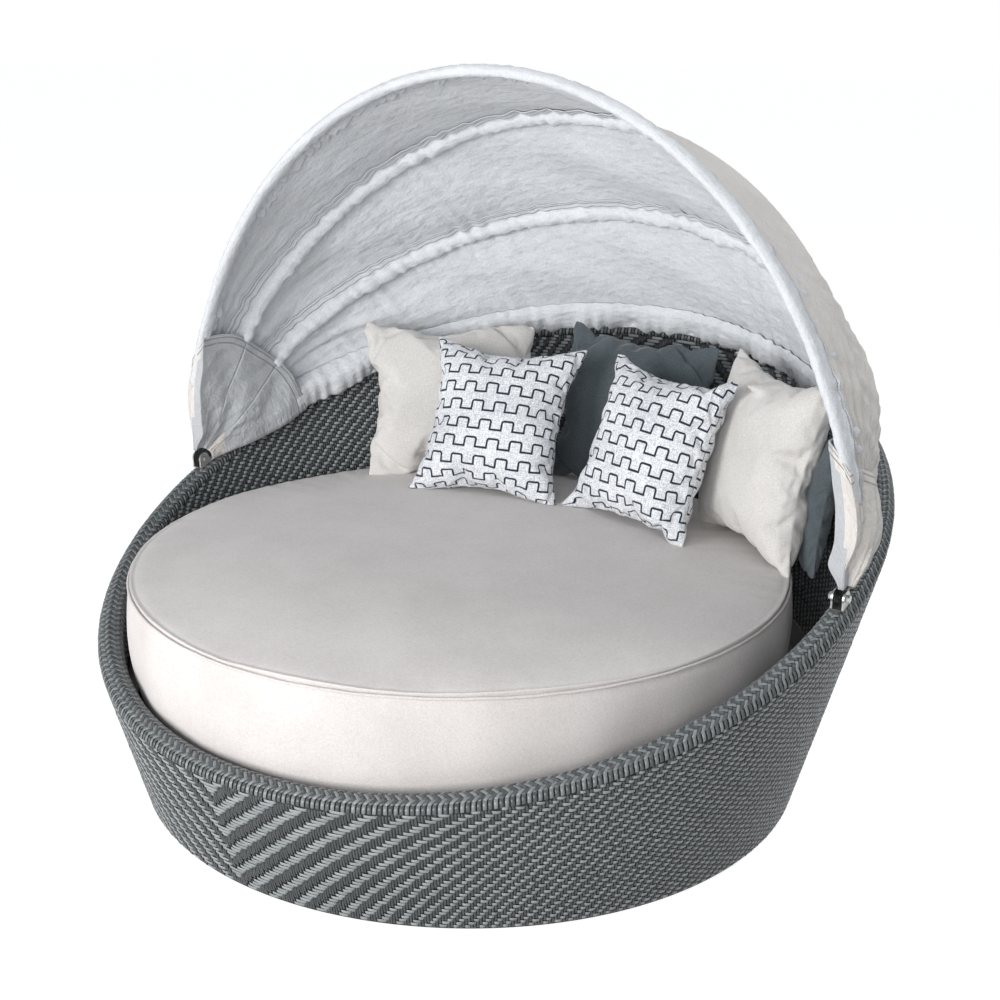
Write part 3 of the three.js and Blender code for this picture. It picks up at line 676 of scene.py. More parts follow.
def close_cloth(cloth, rough=0.9, sheen=0.2, gloss=0.25):
    """Ends a cloth's material with a soft sheen over its colour and relief."""
    return cloth.close({
        "Base Color": cloth.color, "Roughness": rough, "Normal": cloth.bump,
        "Sheen Weight": sheen, "Sheen Roughness": 0.5, "Specular IOR Level": gloss,
    })


profile = [(0.02, mattress_bottom), (0.45, mattress_bottom)]
for share in np.linspace(0, 1, 7):
    swing = -math.pi / 2 + share * math.pi / 2
    profile.append((
        mattress_base_radius - mattress_corner + mattress_corner * math.cos(swing),
        mattress_bottom + mattress_corner + mattress_corner * math.sin(swing),
    ))
for share in np.linspace(0.10, 0.94, 13):
    z = mattress_bottom + mattress_corner
    z += share * (seam_height - 0.004 - mattress_bottom - mattress_corner)
    profile.append((mattress_base_radius + 0.006 * share + 0.012 * math.sin(math.pi * share) ** 0.8, z))
profile += [(0.7805, seam_height - 0.012), (0.7785, seam_height - 0.0065), (0.7745, seam_height - 0.002)]
side_rows = len(profile)
profile += [(0.7742, seam_height + 0.0012), (0.7770, seam_height + 0.0055), (0.7765, seam_height + 0.0105)]
crown_shares = (
    0.988, 0.978, 0.965, 0.95, 0.93, 0.905, 0.87, 0.82, 0.76, 0.68, 0.58, 0.46, 0.34, 0.22, 0.12, 0.05, 0.012,
)
for share in crown_shares:
    lift = 0.0085 * (1 - fade(1 - share, 0.012)) * fade(1 - share, 0.18)
    profile.append((mattress_radius * share, float(crown_height(mattress_radius * share)) + 0.0012 + lift))
profile = np.array(profile)
turns = np.arange(mattress_columns) / mattress_columns * 2 * math.pi
radius = np.repeat(profile[:, :1], mattress_columns, 1)
height = np.repeat(profile[:, 1:], mattress_columns, 1)
arc = turns[None] * mattress_radius
inward = mattress_radius - radius
top = (np.arange(len(profile)) >= side_rows)[:, None]
# the cover's puckers start at the seam and die out over a hand's width
pull = 0.5 + 0.5 * np.tanh(wave(turns / 6.283, 11, 6, 1, 5) * 1.6 + 0.2)
pull = pull * (0.22 + 0.78 * hump(turns, 3.3, 0.9))
pucker = wave(arc / 0.032 + inward * 2.0, 12, 7, 0.35, 1.0) * fade(inward, 0.085) * (1 - fade(inward, 0.006))
height = height + np.where(top, pucker * pull[None] * 0.0042, 0)
broad = wave(arc / 0.9 + inward, 13, 5, 0.6, 2.0) * fade(inward, 0.3)
height = height + np.where(top, broad * 0.0022, 0)
climb = np.clip((height - mattress_bottom) / (seam_height - mattress_bottom), 0, 1)
side_fold = wave(arc / 0.35, 14, 6, 0.5, 2.0) * np.sin(math.pi * climb) * 0.0022
side_tick = wave(arc / 0.026, 15, 6, 0.3, 1.0) * fade(1 - climb, 0.09) * 0.0009
radius = radius + np.where(top, 0, side_fold + side_tick)
points = on_mattress(round_about(turns[None], radius, height)).transpose(1, 0, 2)
mattress = mesh_of("mattress_cover", points, grid_faces(mattress_columns, len(profile), endless=True))
mend(mattress, capped=True)

# The piping in the seam: a cord in a sleeve of the same cloth, 6 mm thick
piping_radius = 0.0031
piping_rings = []
for turn in np.arange(480) / 480 * 2 * math.pi:
    swing = np.arange(10) / 10 * 2 * math.pi
    wobble = 0.0004 * math.sin(turn * 31) + 0.0003 * math.sin(turn * 67 + 1)
    reach = mattress_radius + 0.0005 + piping_radius * np.cos(swing)
    z = seam_height - 0.001 + wobble + piping_radius * np.sin(swing)
    piping_rings.append(on_mattress(round_about(turn, reach, z)))
piping = closed_band("mattress_piping", piping_rings)

stone = canvas("mattress_cloth", (0.540, 0.507, 0.494), (0.690, 0.657, 0.643))
mattress_cloth = close_cloth(stone, rough=0.88, sheen=0.25)
for piece in (mattress, piping):
    dress(piece, mattress_cloth, "tub", "mattress")


# The pillows: two squares of cloth sewn edge to edge and stuffed. Each is simulated from the flat
# squares with pressure inside, so that the corners stay pointed and the edges pucker, then it is set
# on the mattress and pressed against what it leans on.
pillow_cells = 56
pillow_side, pillow_depth = 0.45, 0.15
pillow_cut = 1.08
stuffing_frames = 26
stuffing_values = {
    "quality": 5, "mass": 0.15, "tension_stiffness": 25, "compression_stiffness": 25,
    "shear_stiffness": 8, "bending_stiffness": 0.6, "tension_damping": 12, "compression_damping": 12,
    "air_damping": 4, "use_pressure": True, "uniform_pressure_force": 5.5,
    "vertex_group_shrink": "drawn", "shrink_min": 0.0, "shrink_max": 0.10,
}
pillow_plan = {
    # size and place as shares of a common pillow and of the mattress; turn, lean and roll in degrees
    "pillow_patterned_left": ((0.956, 0.978, 1), (-0.278, 0.56), 10.5, 29, 0),
    "pillow_patterned_right": ((0.933, 0.956, 1), (0.316, 0.545), -17, 23, 0),
    "pillow_beige_left": ((1.067, 1, 1), (-0.583, 0.72), 36, 20, 0),
    "pillow_beige_right": ((1.067, 1.044, 1.133), (0.676, 0.61), -38, 12.5, 2),
    "pillow_grey_back": ((1.044, 1, 0.8), (0.06, 0.893), -5, 14, 0),
    "pillow_grey_side": ((0.844, 0.778, 0.6), (0.807, 0.639), -50, 8, 0),
}


def points_of(made):
    return np.array([vertex.co for vertex in made.data.vertices])


def move_points(made, points):
    made.data.vertices.foreach_set("co", points.astype(np.float32).ravel())
    made.data.update()


def apply_modifier(made, modifier):
    """Makes what a modifier does to a piece the piece's own shape."""
    bpy.context.view_layer.objects.active = made
    made.select_set(True)
    bpy.ops.object.modifier_apply(modifier=modifier.name)
    made.select_set(False)


def stuffed_square(name, width, height, depth, seed):
    """The pillow's two squares, sewn at the edge and blown up in a cloth simulation."""
    ticks = np.linspace(-0.5, 0.5, pillow_cells + 1)
    x, y = np.meshgrid(ticks * width * pillow_cut, ticks * height * pillow_cut, indexing="ij")
    half_x, half_y = width * pillow_cut / 2, height * pillow_cut / 2
    edge = 1 - np.maximum(np.abs(x) / half_x, np.abs(y) / half_y)
    puff = 0.012 * np.clip(edge * 6, 0, 1) ** 0.6
    faces = grid_faces(pillow_cells + 1, pillow_cells + 1)
    front = np.stack([x, y, puff], -1).reshape(-1, 3)
    back = np.stack([x, y, -puff], -1).reshape(-1, 3)
    flat = np.concatenate([front[:, :2], back[:, :2] + (0.9, 0.4)])
    both_faces = np.concatenate([faces, faces[:, ::-1] + len(front)])
    made = mesh_of(name, np.concatenate([front, back]), both_faces, flat)
    mend(made)
    co = points_of(made)
    seam = np.maximum(np.abs(co[:, 0]) / half_x, np.abs(co[:, 1]) / half_y)
    drawn = made.vertex_groups.new(name="drawn")
    for index in np.nonzero(seam > 0.9)[0]:
        drawn.add([int(index)], float(np.clip((seam[index] - 0.9) * 10, 0, 1)), "REPLACE")
    stuffing = made.modifiers.new("stuffing", "CLOTH")
    for setting, value in stuffing_values.items():
        setattr(stuffing.settings, setting, value)
    stuffing.settings.effector_weights.gravity = 0
    stuffing.point_cache.frame_start = 1
    stuffing.point_cache.frame_end = stuffing_frames
    for step in range(1, stuffing_frames + 1):
        bpy.context.scene.frame_set(step)
    apply_modifier(made, stuffing)
    bpy.context.scene.frame_set(1)
    co = points_of(made)
    middle = (co.max(0) + co.min(0)) / 2
    reach = (co.max(0) - co.min(0)) / 2
    co = (co - middle) / reach * (width / 2, height / 2, depth / 2)
    # the stuffing is lumpy and the cloth creases a little from the corners
    lump = wave(co[:, 0] / 0.3 + co[:, 1] / 0.5, seed, 4, 0.4, 1.2)
    lump = lump + wave(co[:, 1] / 0.3 - co[:, 0] / 0.6, seed + 1, 4, 0.4, 1.2)
    inside = np.clip(1 - seam, 0, 1)
    co[:, 2] += np.sign(co[:, 2]) * lump * 0.0028 * np.clip(inside * 5, 0, 1)
    move_points(made, co)
    return made


def press_out(made, neighbours, gap=0.0015):
    """Moves the points that lie in a neighbour out to its surface, softens the dent, and leaves none
    below the mattress."""
    co = points_of(made)
    links = np.array([e.vertices for e in made.data.edges])
    pressed = np.zeros(len(co))
    for neighbour in neighbours:
        faces = [polygon.vertices for polygon in neighbour.data.polygons]
        tree = BVHTree.FromPolygons([vertex.co for vertex in neighbour.data.vertices], faces)
        for index, point in enumerate(co):
            near, normal, _, _ = tree.find_nearest(Vector(point), 0.07)
            if near is not None and (Vector(point) - near).dot(normal) < gap:
                co[index] = near + normal * gap
                pressed[index] = 1
    for _ in range(5):
        np.maximum.at(pressed, links[:, 0], pressed[links[:, 1]] * 0.8)
        np.maximum.at(pressed, links[:, 1], pressed[links[:, 0]] * 0.8)
    count = np.bincount(links.ravel(), minlength=len(co))[:, None]
    for _ in range(8):
        total = np.zeros_like(co)
        np.add.at(total, links[:, 0], co[links[:, 1]])
        np.add.at(total, links[:, 1], co[links[:, 0]])
        co += (total / count - co) * 0.5 * pressed[:, None]
    rest = crown_height(np.hypot(co[:, 0] - mattress_left, co[:, 1] - mattress_back)) + 0.0025
    low = co[:, 2] < rest
    co[low, 2] = rest[low]
    move_points(made, co)


beige_cloth = close_cloth(canvas("beige_cloth", (0.505, 0.487, 0.468), (0.700, 0.682, 0.660), uv=True))
grey_cloth = close_cloth(canvas("grey_cloth", (0.052, 0.066, 0.075), (0.105, 0.126, 0.138), uv=True))

# The patterned cloth: a pale heather ground with rows of dark stepped lines whose corners are a
# little rounded, each row set half a step along from the one below
ground_tones = (0.400, 0.425, 0.460), (0.860, 0.865, 0.880)
printed = canvas("pattern_cloth", *ground_tones, heather=1.1, flecks=1.3, uv=True)
x, y, _ = printed.parts(printed.flat())
line_period, line_rows, line_rise, line_width, line_round = 0.0605, 0.0470, 0.0235, 0.0054, 0.0055
slip = printed.noise(printed.flat(), 60, 2)
rung = y / line_rows
shift = (rung.floor() * 0.5).fract()
up = (rung.fract() - 0.5) * line_rows
along_line = (x / line_period + shift).fract()
from_top = abs(along_line - 0.5) * line_period
beside = from_top - line_period / 4 + line_round
above = up - line_rise / 2 + line_round
corner_x = beside.most(0)
corner_y = above.most(0)
corner = (corner_x * corner_x + corner_y * corner_y).root()
merlon = corner - line_round + beside.most(above).least(0)
edge = merlon.least(up + line_rise / 2)
line = abs(edge) + (slip - 0.5) * 0.0008
dark_line = 1 - line.rise(line_width * 0.36, line_width * 0.62)
printed.color = printed.blend(dark_line, printed.color, (0.018, 0.024, 0.042))
pattern_cloth = close_cloth(printed, rough=0.92, gloss=0.2)

pillow_cloths = {
    "patterned": (pattern_cloth, "pattern_cloth"),
    "beige": (beige_cloth, "beige_cloth"),
    "grey": (grey_cloth, "grey_cloth"),
}
pillows = []
for number, (name, (shares, place, turn, lean, roll)) in enumerate(pillow_plan.items()):
    width, tall, depth = shares[0] * pillow_side, shares[1] * pillow_side, shares[2] * pillow_depth
    pillow = stuffed_square(name + "_cover", width, tall, depth, 40 + 3 * number)
    x, y = place[0] * mattress_radius, place[1] * mattress_radius
    rest = float(crown_height(math.hypot(x - mattress_left, y - mattress_back))) - 0.012
    centre = rest + tall / 2 * math.cos(math.radians(lean))
    pillow.data.transform(
        Matrix.Translation((x, y, centre))
        @ Matrix.Rotation(math.radians(turn), 4, "Z")
        @ Matrix.Rotation(math.pi / 2 - math.radians(lean), 4, "X")
        @ Matrix.Rotation(math.radians(roll), 4, "Z")
    )
    press_out(pillow, pillows)
    apply_modifier(pillow, pillow.modifiers.new("softened", "SUBSURF"))
    cloth, slot = pillow_cloths[name.split("_")[1]]
    dress(pillow, cloth, "tub", name)
    pillows.append(pillow)


# The canopy cloth: light grey acrylic in three panels over four bows. Each panel sags a little
# between its bows, puckers at their seams and draws into folds towards the pivots.
pivot = Vector((0, 0.0404156, 0.6137548))
pivot_half_span = 0.9146784
bow_names = ("front", "second", "third", "rear")
bodies = ("front_bow", "second_bow", "third_bow", "tub")
bow_tilts = np.radians([1.2, 24.8, 47.8, 68.5])
bow_heights = (pivot_half_span + 0.113) * np.array([1, 0.972, 0.93, 0.914])
bow_half_widths = pivot_half_span + np.array([0.017, 0.017, 0.013, -0.031])
lug_places = pivot_half_span + (1.5 - np.arange(4)) * 0.005
nest_places = pivot_half_span + (1.5 - np.arange(4)) * 0.020 - 0.006
nest_start, nest_rise = 0.035, 0.135
spread_start, spread_rise = 0.17, 0.3
bow_tube = 0.0095
cloth_lift = bow_tube + 0.0018
cloth_thickness = 0.0012
strip_thickness = 0.0018
panel_columns, panel_rows = 260, 48
low_reach = 0.16


def bow_line(bow, turn, lift=0.0):
    """Across and outwards from the pivots' axis, for a turn from the right end to the left one."""
    reach = (bow_heights[bow] + lift) * np.sin(turn)
    flat = np.abs(np.cos(turn))
    along = bow_heights[bow] * np.sin(turn)
    nest = (nest_places[bow] - lug_places[bow]) * smooth_share((along - nest_start) / nest_rise)
    end = lug_places[bow] + nest
    end = end + (bow_half_widths[bow] - end) * smooth_share((along - spread_start) / spread_rise)
    x = end - bow_half_widths[bow] * (1 - flat) + lift * flat
    return np.sign(np.cos(turn)) * x, reach


def bow_start(bow, low=low_reach):
    """The turn at which a bow is this far out from the pivots' axis."""
    return math.asin(low / bow_heights[bow])


def fan_point(x, reach, tilt):
    y, z = pivot.y + reach * np.sin(tilt), pivot.z + reach * np.cos(tilt)
    return np.stack(np.broadcast_arrays(x, y, z), -1)


def fan_frame(bow, turn):
    """The bow's middle line with the directions out of the fan and back round it."""
    x, reach = bow_line(bow, turn)
    run = np.stack(bow_line(bow, turn + 1e-3), -1) - np.stack(bow_line(bow, turn - 1e-3), -1)
    run /= np.linalg.norm(run, axis=-1, keepdims=True)
    tilt = bow_tilts[bow]
    outward = np.stack([run[..., 1], -run[..., 0] * math.sin(tilt), -run[..., 0] * math.cos(tilt)], -1)
    back = np.broadcast_to([0, math.cos(tilt), -math.sin(tilt)], outward.shape)
    return fan_point(x, reach, tilt), outward, back


def thicken(made, thickness, offset, with_inside_shade=False):
    cloth = made.modifiers.new("cloth", "SOLIDIFY")
    cloth.thickness = thickness
    cloth.offset = offset
    cloth.material_offset = 1 if with_inside_shade else 0
    apply_modifier(made, cloth)


def fold_between(made):
    """Bakes the piece's placement into its points."""
    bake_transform(made)


def awning(name, dark, light, rows=()):
    """Outdoor acrylic canvas, crinkled from being folded and with sharper creases here and there.
    Rows are the stitched seams, by their distance from the cloth's edge."""
    cloth = canvas(name, dark, light, heather=0.6, uv=True)
    crinkle = cloth.noise(cloth.flat(), 46, 4, 0.55, (0.55, 1.2, 1))
    cross = cloth.noise(cloth.flat(), 17, 3, 0.5, (0.8, 1.2, 1))
    cloth.bump = cloth.relief(crinkle * 0.5 + cross * 0.7, 0.0120, 0.9, under=cloth.bump)
    if rows:
        place, across, _ = cloth.parts(cloth.flat())
        seam = None
        for row in rows:
            groove = 1 - (abs(across - row) / 0.0022).least(1)
            seam = groove if seam is None else seam.most(groove)
        stitch = (place * (math.pi / 0.0032)).sine() * 0.5 + 0.5
        # Each seam row darkens across its groove, and more at each stitch: thread colour, with painted shade
        # in the groove.
        thread_and_groove_shade = tuple(0.42 * tone for tone in dark)
        cloth.color = cloth.blend(seam * (0.35 + 0.35 * stitch), cloth.color, thread_and_groove_shade)
        cloth.bump = cloth.relief(1 - seam, 0.0022, 0.9, under=cloth.bump)
    return close_cloth(cloth, rough=0.85, sheen=0.15)


# The inside tones are the same cloth as the outside in a cooler tint: painted shade, the cool light on the
# canopy's shaded underside. The hems, sleeves and ties wear them too.
outside_tones = (0.590, 0.558, 0.526), (0.750, 0.714, 0.678)
inside_shade_tones = (0.570, 0.588, 0.612), (0.730, 0.750, 0.778)
canopy_cloth = awning("canopy_cloth", *outside_tones)
canopy_inside_shade = awning("canopy_inside_shade", *inside_shade_tones)


def panel_drop(number, u, v, along_seam):
    """How far a panel lies inside the straight pull between its bows: the belly, the puckers at its
    seams, the folds towards the pivots, and a long slow roll."""
    start = bow_start(number)
    reach = bow_heights[number] * np.sin(start + (math.pi - 2 * start) * u)
    width = bow_tilts[number + 1] - bow_tilts[number]
    chord = reach * (1 - math.cos(width / 2))
    from_end = np.minimum(u, 1 - u) * 3.0
    loose = hump(from_end, 0.32, 0.26)
    belly = (4 * v * (1 - v)) * (chord * 0.92 + 0.014 * np.sin(math.pi * u))
    belly = belly * (1 - 0.8 * loose) - 0.016 * loose * np.sin(math.pi * v)
    off_seam = np.minimum(v, 1 - v) * reach * width
    pucker = wave(along_seam / 0.030 + v * 1.5, 60 + number, 7, 0.3, 1.0)
    pucker = pucker * fade(off_seam, 0.05) * (1 - hump(off_seam, 0, 0.013))
    gather = wave(along_seam / 0.055 + v * 0.8, 95 + number, 6, 0.4, 1.3)
    gather = gather * fade(off_seam, 0.11) * (1 - hump(off_seam, 0, 0.015))
    folds = wave(v * 3.2 + wave(u * 4, 70 + number, 3) * 0.12, 80 + number, 5, 0.5, 1.6)
    folds = folds * fade(from_end, 0.30) * np.sin(math.pi * np.clip(v, 0, 1)) ** 0.5
    roll = wave(along_seam / 0.45 + v * 1.3, 90 + number, 5, 0.4, 1.3) * np.sin(math.pi * v)
    return belly + pucker * 0.0032 + gather * 0.0034 + folds * 0.0110 + roll * 0.0050


def panel_place(number, u, v):
    """Points of a panel at shares u along its bows and v from its front bow to its rear one, with the
    way into the canopy there, the length along the seam, and the distance between the bows."""
    dense = np.linspace(0, 1, 401)
    ends = []
    for bow in (number, number + 1):
        start = bow_start(bow)
        ends.append(np.stack(bow_line(bow, start + (math.pi - 2 * start) * dense, cloth_lift), -1))
    along_seam = np.interp(u, dense, length_along(ends[0]))
    x_front, reach_front, x_rear, reach_rear = (np.interp(u, dense, end) for end in np.hstack(ends).T)
    x = x_front + (x_rear - x_front) * v
    reach = reach_front + (reach_rear - reach_front) * v
    width = bow_tilts[number + 1] - bow_tilts[number]
    tilt = bow_tilts[number] + width * v
    inward = -np.stack([x * 0.9 + 0 * tilt, reach * np.sin(tilt), reach * np.cos(tilt)], -1)
    inward /= np.linalg.norm(inward, axis=-1, keepdims=True)
    drop = panel_drop(number, u, v, along_seam)
    return fan_point(x, reach, tilt) + inward * drop[..., None], inward, along_seam, reach * width


for number, name in enumerate(("front", "middle", "rear")):
    u = np.linspace(0, 1, panel_columns + 1)[:, None]
    v = np.linspace(0, 1, panel_rows + 1)[None]
    points, _, along_seam, span = panel_place(number, u, v)
    flat = np.stack(np.broadcast_arrays(along_seam, span.mean() * v), -1) + (0, number * 0.7)
    faces = grid_faces(panel_columns + 1, panel_rows + 1)
    panel = mesh_of(f"canopy_panel_{name}_cloth", points, faces, flat.reshape(-1, 2))
    panel.data.materials.append(canopy_inside_shade)
    panel.data.materials.append(canopy_cloth)
    thicken(panel, cloth_thickness, 0, with_inside_shade=True)
    length = float(along_seam[-1, 0])
    fold_between(panel)
    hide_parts(f"canopy_panel_{name}")


def eased_path(corners, count, rounds):
    """Even steps along a path of corner points, which are rounded off, and the length to each."""
    corners = np.asarray(corners)
    run = length_along(corners[:, :2])
    steps = np.linspace(0, run[-1], count)
    path = np.stack([np.interp(steps, run, column) for column in corners.T], -1)
    for _ in range(rounds):
        path[1:-1] = (path[:-2] + 2 * path[1:-1] + path[2:]) / 4
    return path, steps


def seam_strip(piece, bow, outline, low, seed, ripple, rows, columns=360):
    """A strip of cloth along a bow. Its outline runs in steps back round the fan and out of it, and
    a third value of 1 lays a point on the panel beside the bow, where 0 is round the tube."""
    start = bow_start(bow, low)
    turn = np.linspace(start, math.pi - start, columns + 1)
    centre, outward, back = fan_frame(bow, turn)
    across, steps = eased_path(outline, 34, 2)
    on_panel = across[:, 2]
    across = across[:, :2]
    normal = np.gradient(across, axis=0)
    normal = np.stack([normal[:, 1], -normal[:, 0]], -1)
    normal /= np.linalg.norm(normal, axis=-1, keepdims=True)
    place = length_along(centre)
    share = steps / steps[-1]
    waves = wave(place[:, None] / 0.034 + share[None] * 0.6, seed, 8, 0.3, 1.2) * ripple(share)[None]
    slow = wave(place[:, None] / 0.22 + share[None] * 0.5, seed + 1, 5, 0.4, 1.4) * ripple(share)[None] * 0.9
    section = across[None] + (waves + slow)[..., None] * normal[None]
    reach = np.linalg.norm(section, axis=-1, keepdims=True)
    section = section * np.maximum(1, (bow_tube + 0.0024) / np.maximum(reach, 1e-4))
    first = bow_start(bow)
    u = np.clip(((turn - first) / (math.pi - 2 * first))[:, None], 0, 1)
    rise = bow_heights[bow] * np.sin(turn)[:, None]
    points = centre[:, None] + back[:, None] * section[..., :1] + outward[:, None] * section[..., 1:]
    for number, ahead in ((bow - 1, True), (bow, False)):
        if 0 <= number < 3:
            span = rise * (bow_tilts[number + 1] - bow_tilts[number])
            share_back = np.clip(np.abs(section[..., 0]) / span, 0, 0.5)
            laid, inward, _, _ = panel_place(number, u, 1 - share_back if ahead else share_back)
            laid = laid + inward * (cloth_lift - section[..., 1:])
            beside = ((section[..., 0] < 0) if ahead else (section[..., 0] >= 0)) * on_panel[None]
            points = points + (laid - points) * beside[..., None]
    flat = np.stack(np.broadcast_arrays(place[:, None] + bow * 0.3, steps[None]), -1)
    made = mesh_of(piece + "_cloth", points, grid_faces(columns + 1, len(steps)), flat.reshape(-1, 2))
    thicken(made, strip_thickness, 0)
    dress(made, awning(piece + "_stitched", *inside_shade_tones, rows), bodies[bow], piece)


def wandering(share):
    return 0.0006 + 0.0030 * smooth_share((share - 0.5) / 0.4)


def gathered(share):
    return 0.0012 + 0.0042 * np.sin(math.pi * np.clip((share - 0.15) / 0.75, 0, 1)) ** 2


def puckered(share):
    return 0.0005 + 0.0030 * np.sin(math.pi * np.clip((share - 0.25) / 0.75, 0, 1)) ** 1.5


clear = bow_tube + 0.0022
# The front hem wraps the front bow and is turned under as a wide strip with a wandering edge
hem_outline = [
    (0.022, cloth_lift + 0.0024, 1), (0.012, cloth_lift + 0.0024, 0.8), (0.002, clear + 0.0016, 0),
    (-0.012, clear * 0.75, 0), (-0.017, 0, 0), (-0.012, -clear * 0.8, 0), (0.0, -clear - 0.002, 0),
    (0.016, -clear + 0.001, 0.3), (0.030, cloth_lift - 0.008, 0.9), (0.046, cloth_lift - 0.0055, 1),
    (0.056, cloth_lift - 0.0045, 1),
]
seam_strip("canopy_hem_front", 0, hem_outline, 0.20, 100, wandering, rows=(0.006, 0.089))
# The rear hem hangs behind the rear bow, gathered, with a fuller edge
hem_outline = [
    (-0.014, clear + 0.001, 0), (0.004, clear + 0.002, 0), (0.020, clear * 0.9, 0), (0.038, clear * 0.5, 0),
    (0.050, 0, 0), (0.040, -clear * 0.7, 0), (0.020, -clear - 0.001, 0), (0.0, -clear - 0.003, 0),
    (-0.016, -clear - 0.001, 0.4), (-0.036, cloth_lift - 0.0055, 1),
]
seam_strip("canopy_hem_rear", 3, hem_outline, 0.24, 110, gathered, rows=(0.012, 0.165))
# Two sleeves hold the inner bows: each is sewn to the panels in front of the bow and behind it
sleeve_outline = [
    (-0.050, cloth_lift - 0.0040, 1), (-0.034, cloth_lift - 0.0050, 1), (-0.020, cloth_lift - 0.0075, 1),
    (-0.0145, 0.0005, 1), (-0.011, -clear * 0.9, 0.3), (-0.002, -clear - 0.0045, 0),
    (0.008, -clear - 0.0055, 0), (0.0165, -clear - 0.001, 0.4), (0.0185, -clear * 0.3, 0.9),
    (0.0160, 0.003, 1), (0.014, cloth_lift - 0.0045, 1),
]
for bow in (1, 2):
    piece = f"canopy_sleeve_{bow_names[bow]}"
    seam_strip(piece, bow, sleeve_outline, 0.33, 120 + 5 * bow, puckered, rows=(0.004, 0.012, 0.026))


# The corner pockets: a loose boot of two layers of cloth round the fanned ends of the bows, with its
# lower edge along the rim. The inner layer reaches higher than the outer one, and both have a
# stitched hem. Each pocket is made of three gores that meet at the bows.
pocket_bottom, pocket_inner_top, pocket_outer_top = 0.027, 0.338, 0.272
pocket_steps = 18
# The pockets' inner side is the inside cloth at 0.72 of its tone: painted shade, as that side faces away from
# the lamps.
pocket_shade_tones = tuple(tuple(0.72 * tone for tone in tones) for tones in inside_shade_tones)
stitched_pocket_shade = awning("canopy_pocket_shade_stitched", *pocket_shade_tones, (0.009, 0.024))
stitched_flap = awning("canopy_flap_stitched", *outside_tones, (0.009, 0.024))


def rim_roll_top(x, y):
    """The height of the rim's top over a place, or -1 beside the rim."""
    foot = rim_height(np.arctan2(x, -y)) - roll_height
    off = (np.hypot(x, y) - wall_radius(foot, wall_thickness / 2)) / (roll_half_width + 0.003)
    return np.where(np.abs(off) < 1, foot + (roll_height + 0.003) * np.sqrt(np.clip(1 - off ** 2, 0, 1)), -1)


def pocket_place(sign, q, over, layer, row):
    """Points of the right or left pocket: q counts the bows from the front, over goes past the front
    bow (below 0) or the rear one (above 0), layer runs from -1 inside to 1 outside, and row from the
    bottom to the top. With them comes their distance from the top."""
    top = pocket_inner_top + (pocket_outer_top - pocket_inner_top) * (layer + 1) / 2
    top = top + 0.004 * np.sin(q * 4.1 + layer)
    reach = pocket_bottom + (top - pocket_bottom) * row
    turns_at = [np.arcsin(np.minimum(reach / bow_heights[bow], 1)) for bow in range(4)]
    places = np.stack([bow_line(bow, turns_at[bow])[0] for bow in range(4)])
    below = np.clip(np.floor(q), 0, 2).astype(int)
    index = np.broadcast_to(below, reach.shape)[None]
    first = np.take_along_axis(places, index, 0)[0]
    second = np.take_along_axis(places, index + 1, 0)[0]
    x = first + (second - first) * (q - below)
    # how far the cloth goes past the front bow, and how far it hangs behind the rear one
    front = np.arcsin(np.minimum(0.0150 / reach, 0.9))
    hang = np.minimum(0.042, (0.0217 + 0.14 * reach) * 0.92 - 0.005)
    behind = np.arcsin(np.minimum(hang / reach, 0.9))
    tilt = np.interp(q, np.arange(4), bow_tilts) + np.where(over < 0, over * front, over * behind)
    # the two layers bulge apart, the outer one with a nip behind the front bow
    low = 1 - row
    half = 0.0020 + (0.0190 - 0.0040) / 2 * smooth_share((reach - nest_start) / nest_rise)
    body = np.sin(math.pi * np.clip((q + 0.35) / 3.7, 0, 1))
    bulge = 0.050 if sign > 0 else 0.022
    outer = 0.0015 + bulge * body * smooth_share(q / 1.2) * hump(reach, 0.15, 0.13)
    outer = outer - 0.0075 * hump(q, 0.36, 0.15) * smooth_share((reach - 0.07) / 0.05)
    outer = outer + 0.003 * hump(q, 0.62, 0.10)
    inner = 0.0050 + 0.026 * low ** 0.7 * smooth_share(row * 6) * fade(np.maximum(q, 0), 0.7)
    inner = inner + 0.011 * body * np.sin(math.pi * row) ** 0.8
    for bow in (1, 2):
        inner = inner + 0.0016 * hump(q, bow + 0.3 * low, 0.16)
    # long folds, with their own waves on each side of the daybed, and short puckers at the top
    folds = wave(q * 0.5 + reach / 0.30, 151 if sign > 0 else 161, 6, 0.6, 2.2) * 0.0040
    folds = folds + wave(q * 1.1 - reach / 0.14, 171 if sign > 0 else 181, 6, 0.5, 1.8) * 0.0013
    folds = folds * smooth_share(row * 4) * (1 - 0.5 * row)
    pucker = wave(q / 0.10 + row, 191, 5, 0.6, 1.6) * 0.0016 * fade(top - reach, 0.018)
    hem = 0.0012 * (top - reach < 0.027)
    puff = np.where(layer > 0, outer, inner) + hem
    x = x + layer * (half + puff) + (folds + pucker) * np.abs(layer)
    points = fan_point(sign * x, reach, tilt)
    points[..., 2] = np.maximum(points[..., 2], rim_roll_top(points[..., 0], points[..., 1]) + 0.0015)
    return points, np.broadcast_to(top - reach, points.shape[:-1])


def pocket_patch(sign, stations):
    """A patch through columns of (q, over, layer) from the bottom of the pocket to its top."""
    q, over, layer = np.array(stations).T[:, None, :]
    row = np.linspace(0, 1, 46)[:, None]
    points, edge = pocket_place(sign, q, over, layer, row)
    flat = np.stack(np.broadcast_arrays(length_along(points[-1])[None], edge), -1)
    return mesh_of("pocket_patch", points, grid_faces(*points.shape[:2]), flat.reshape(-1, 2))


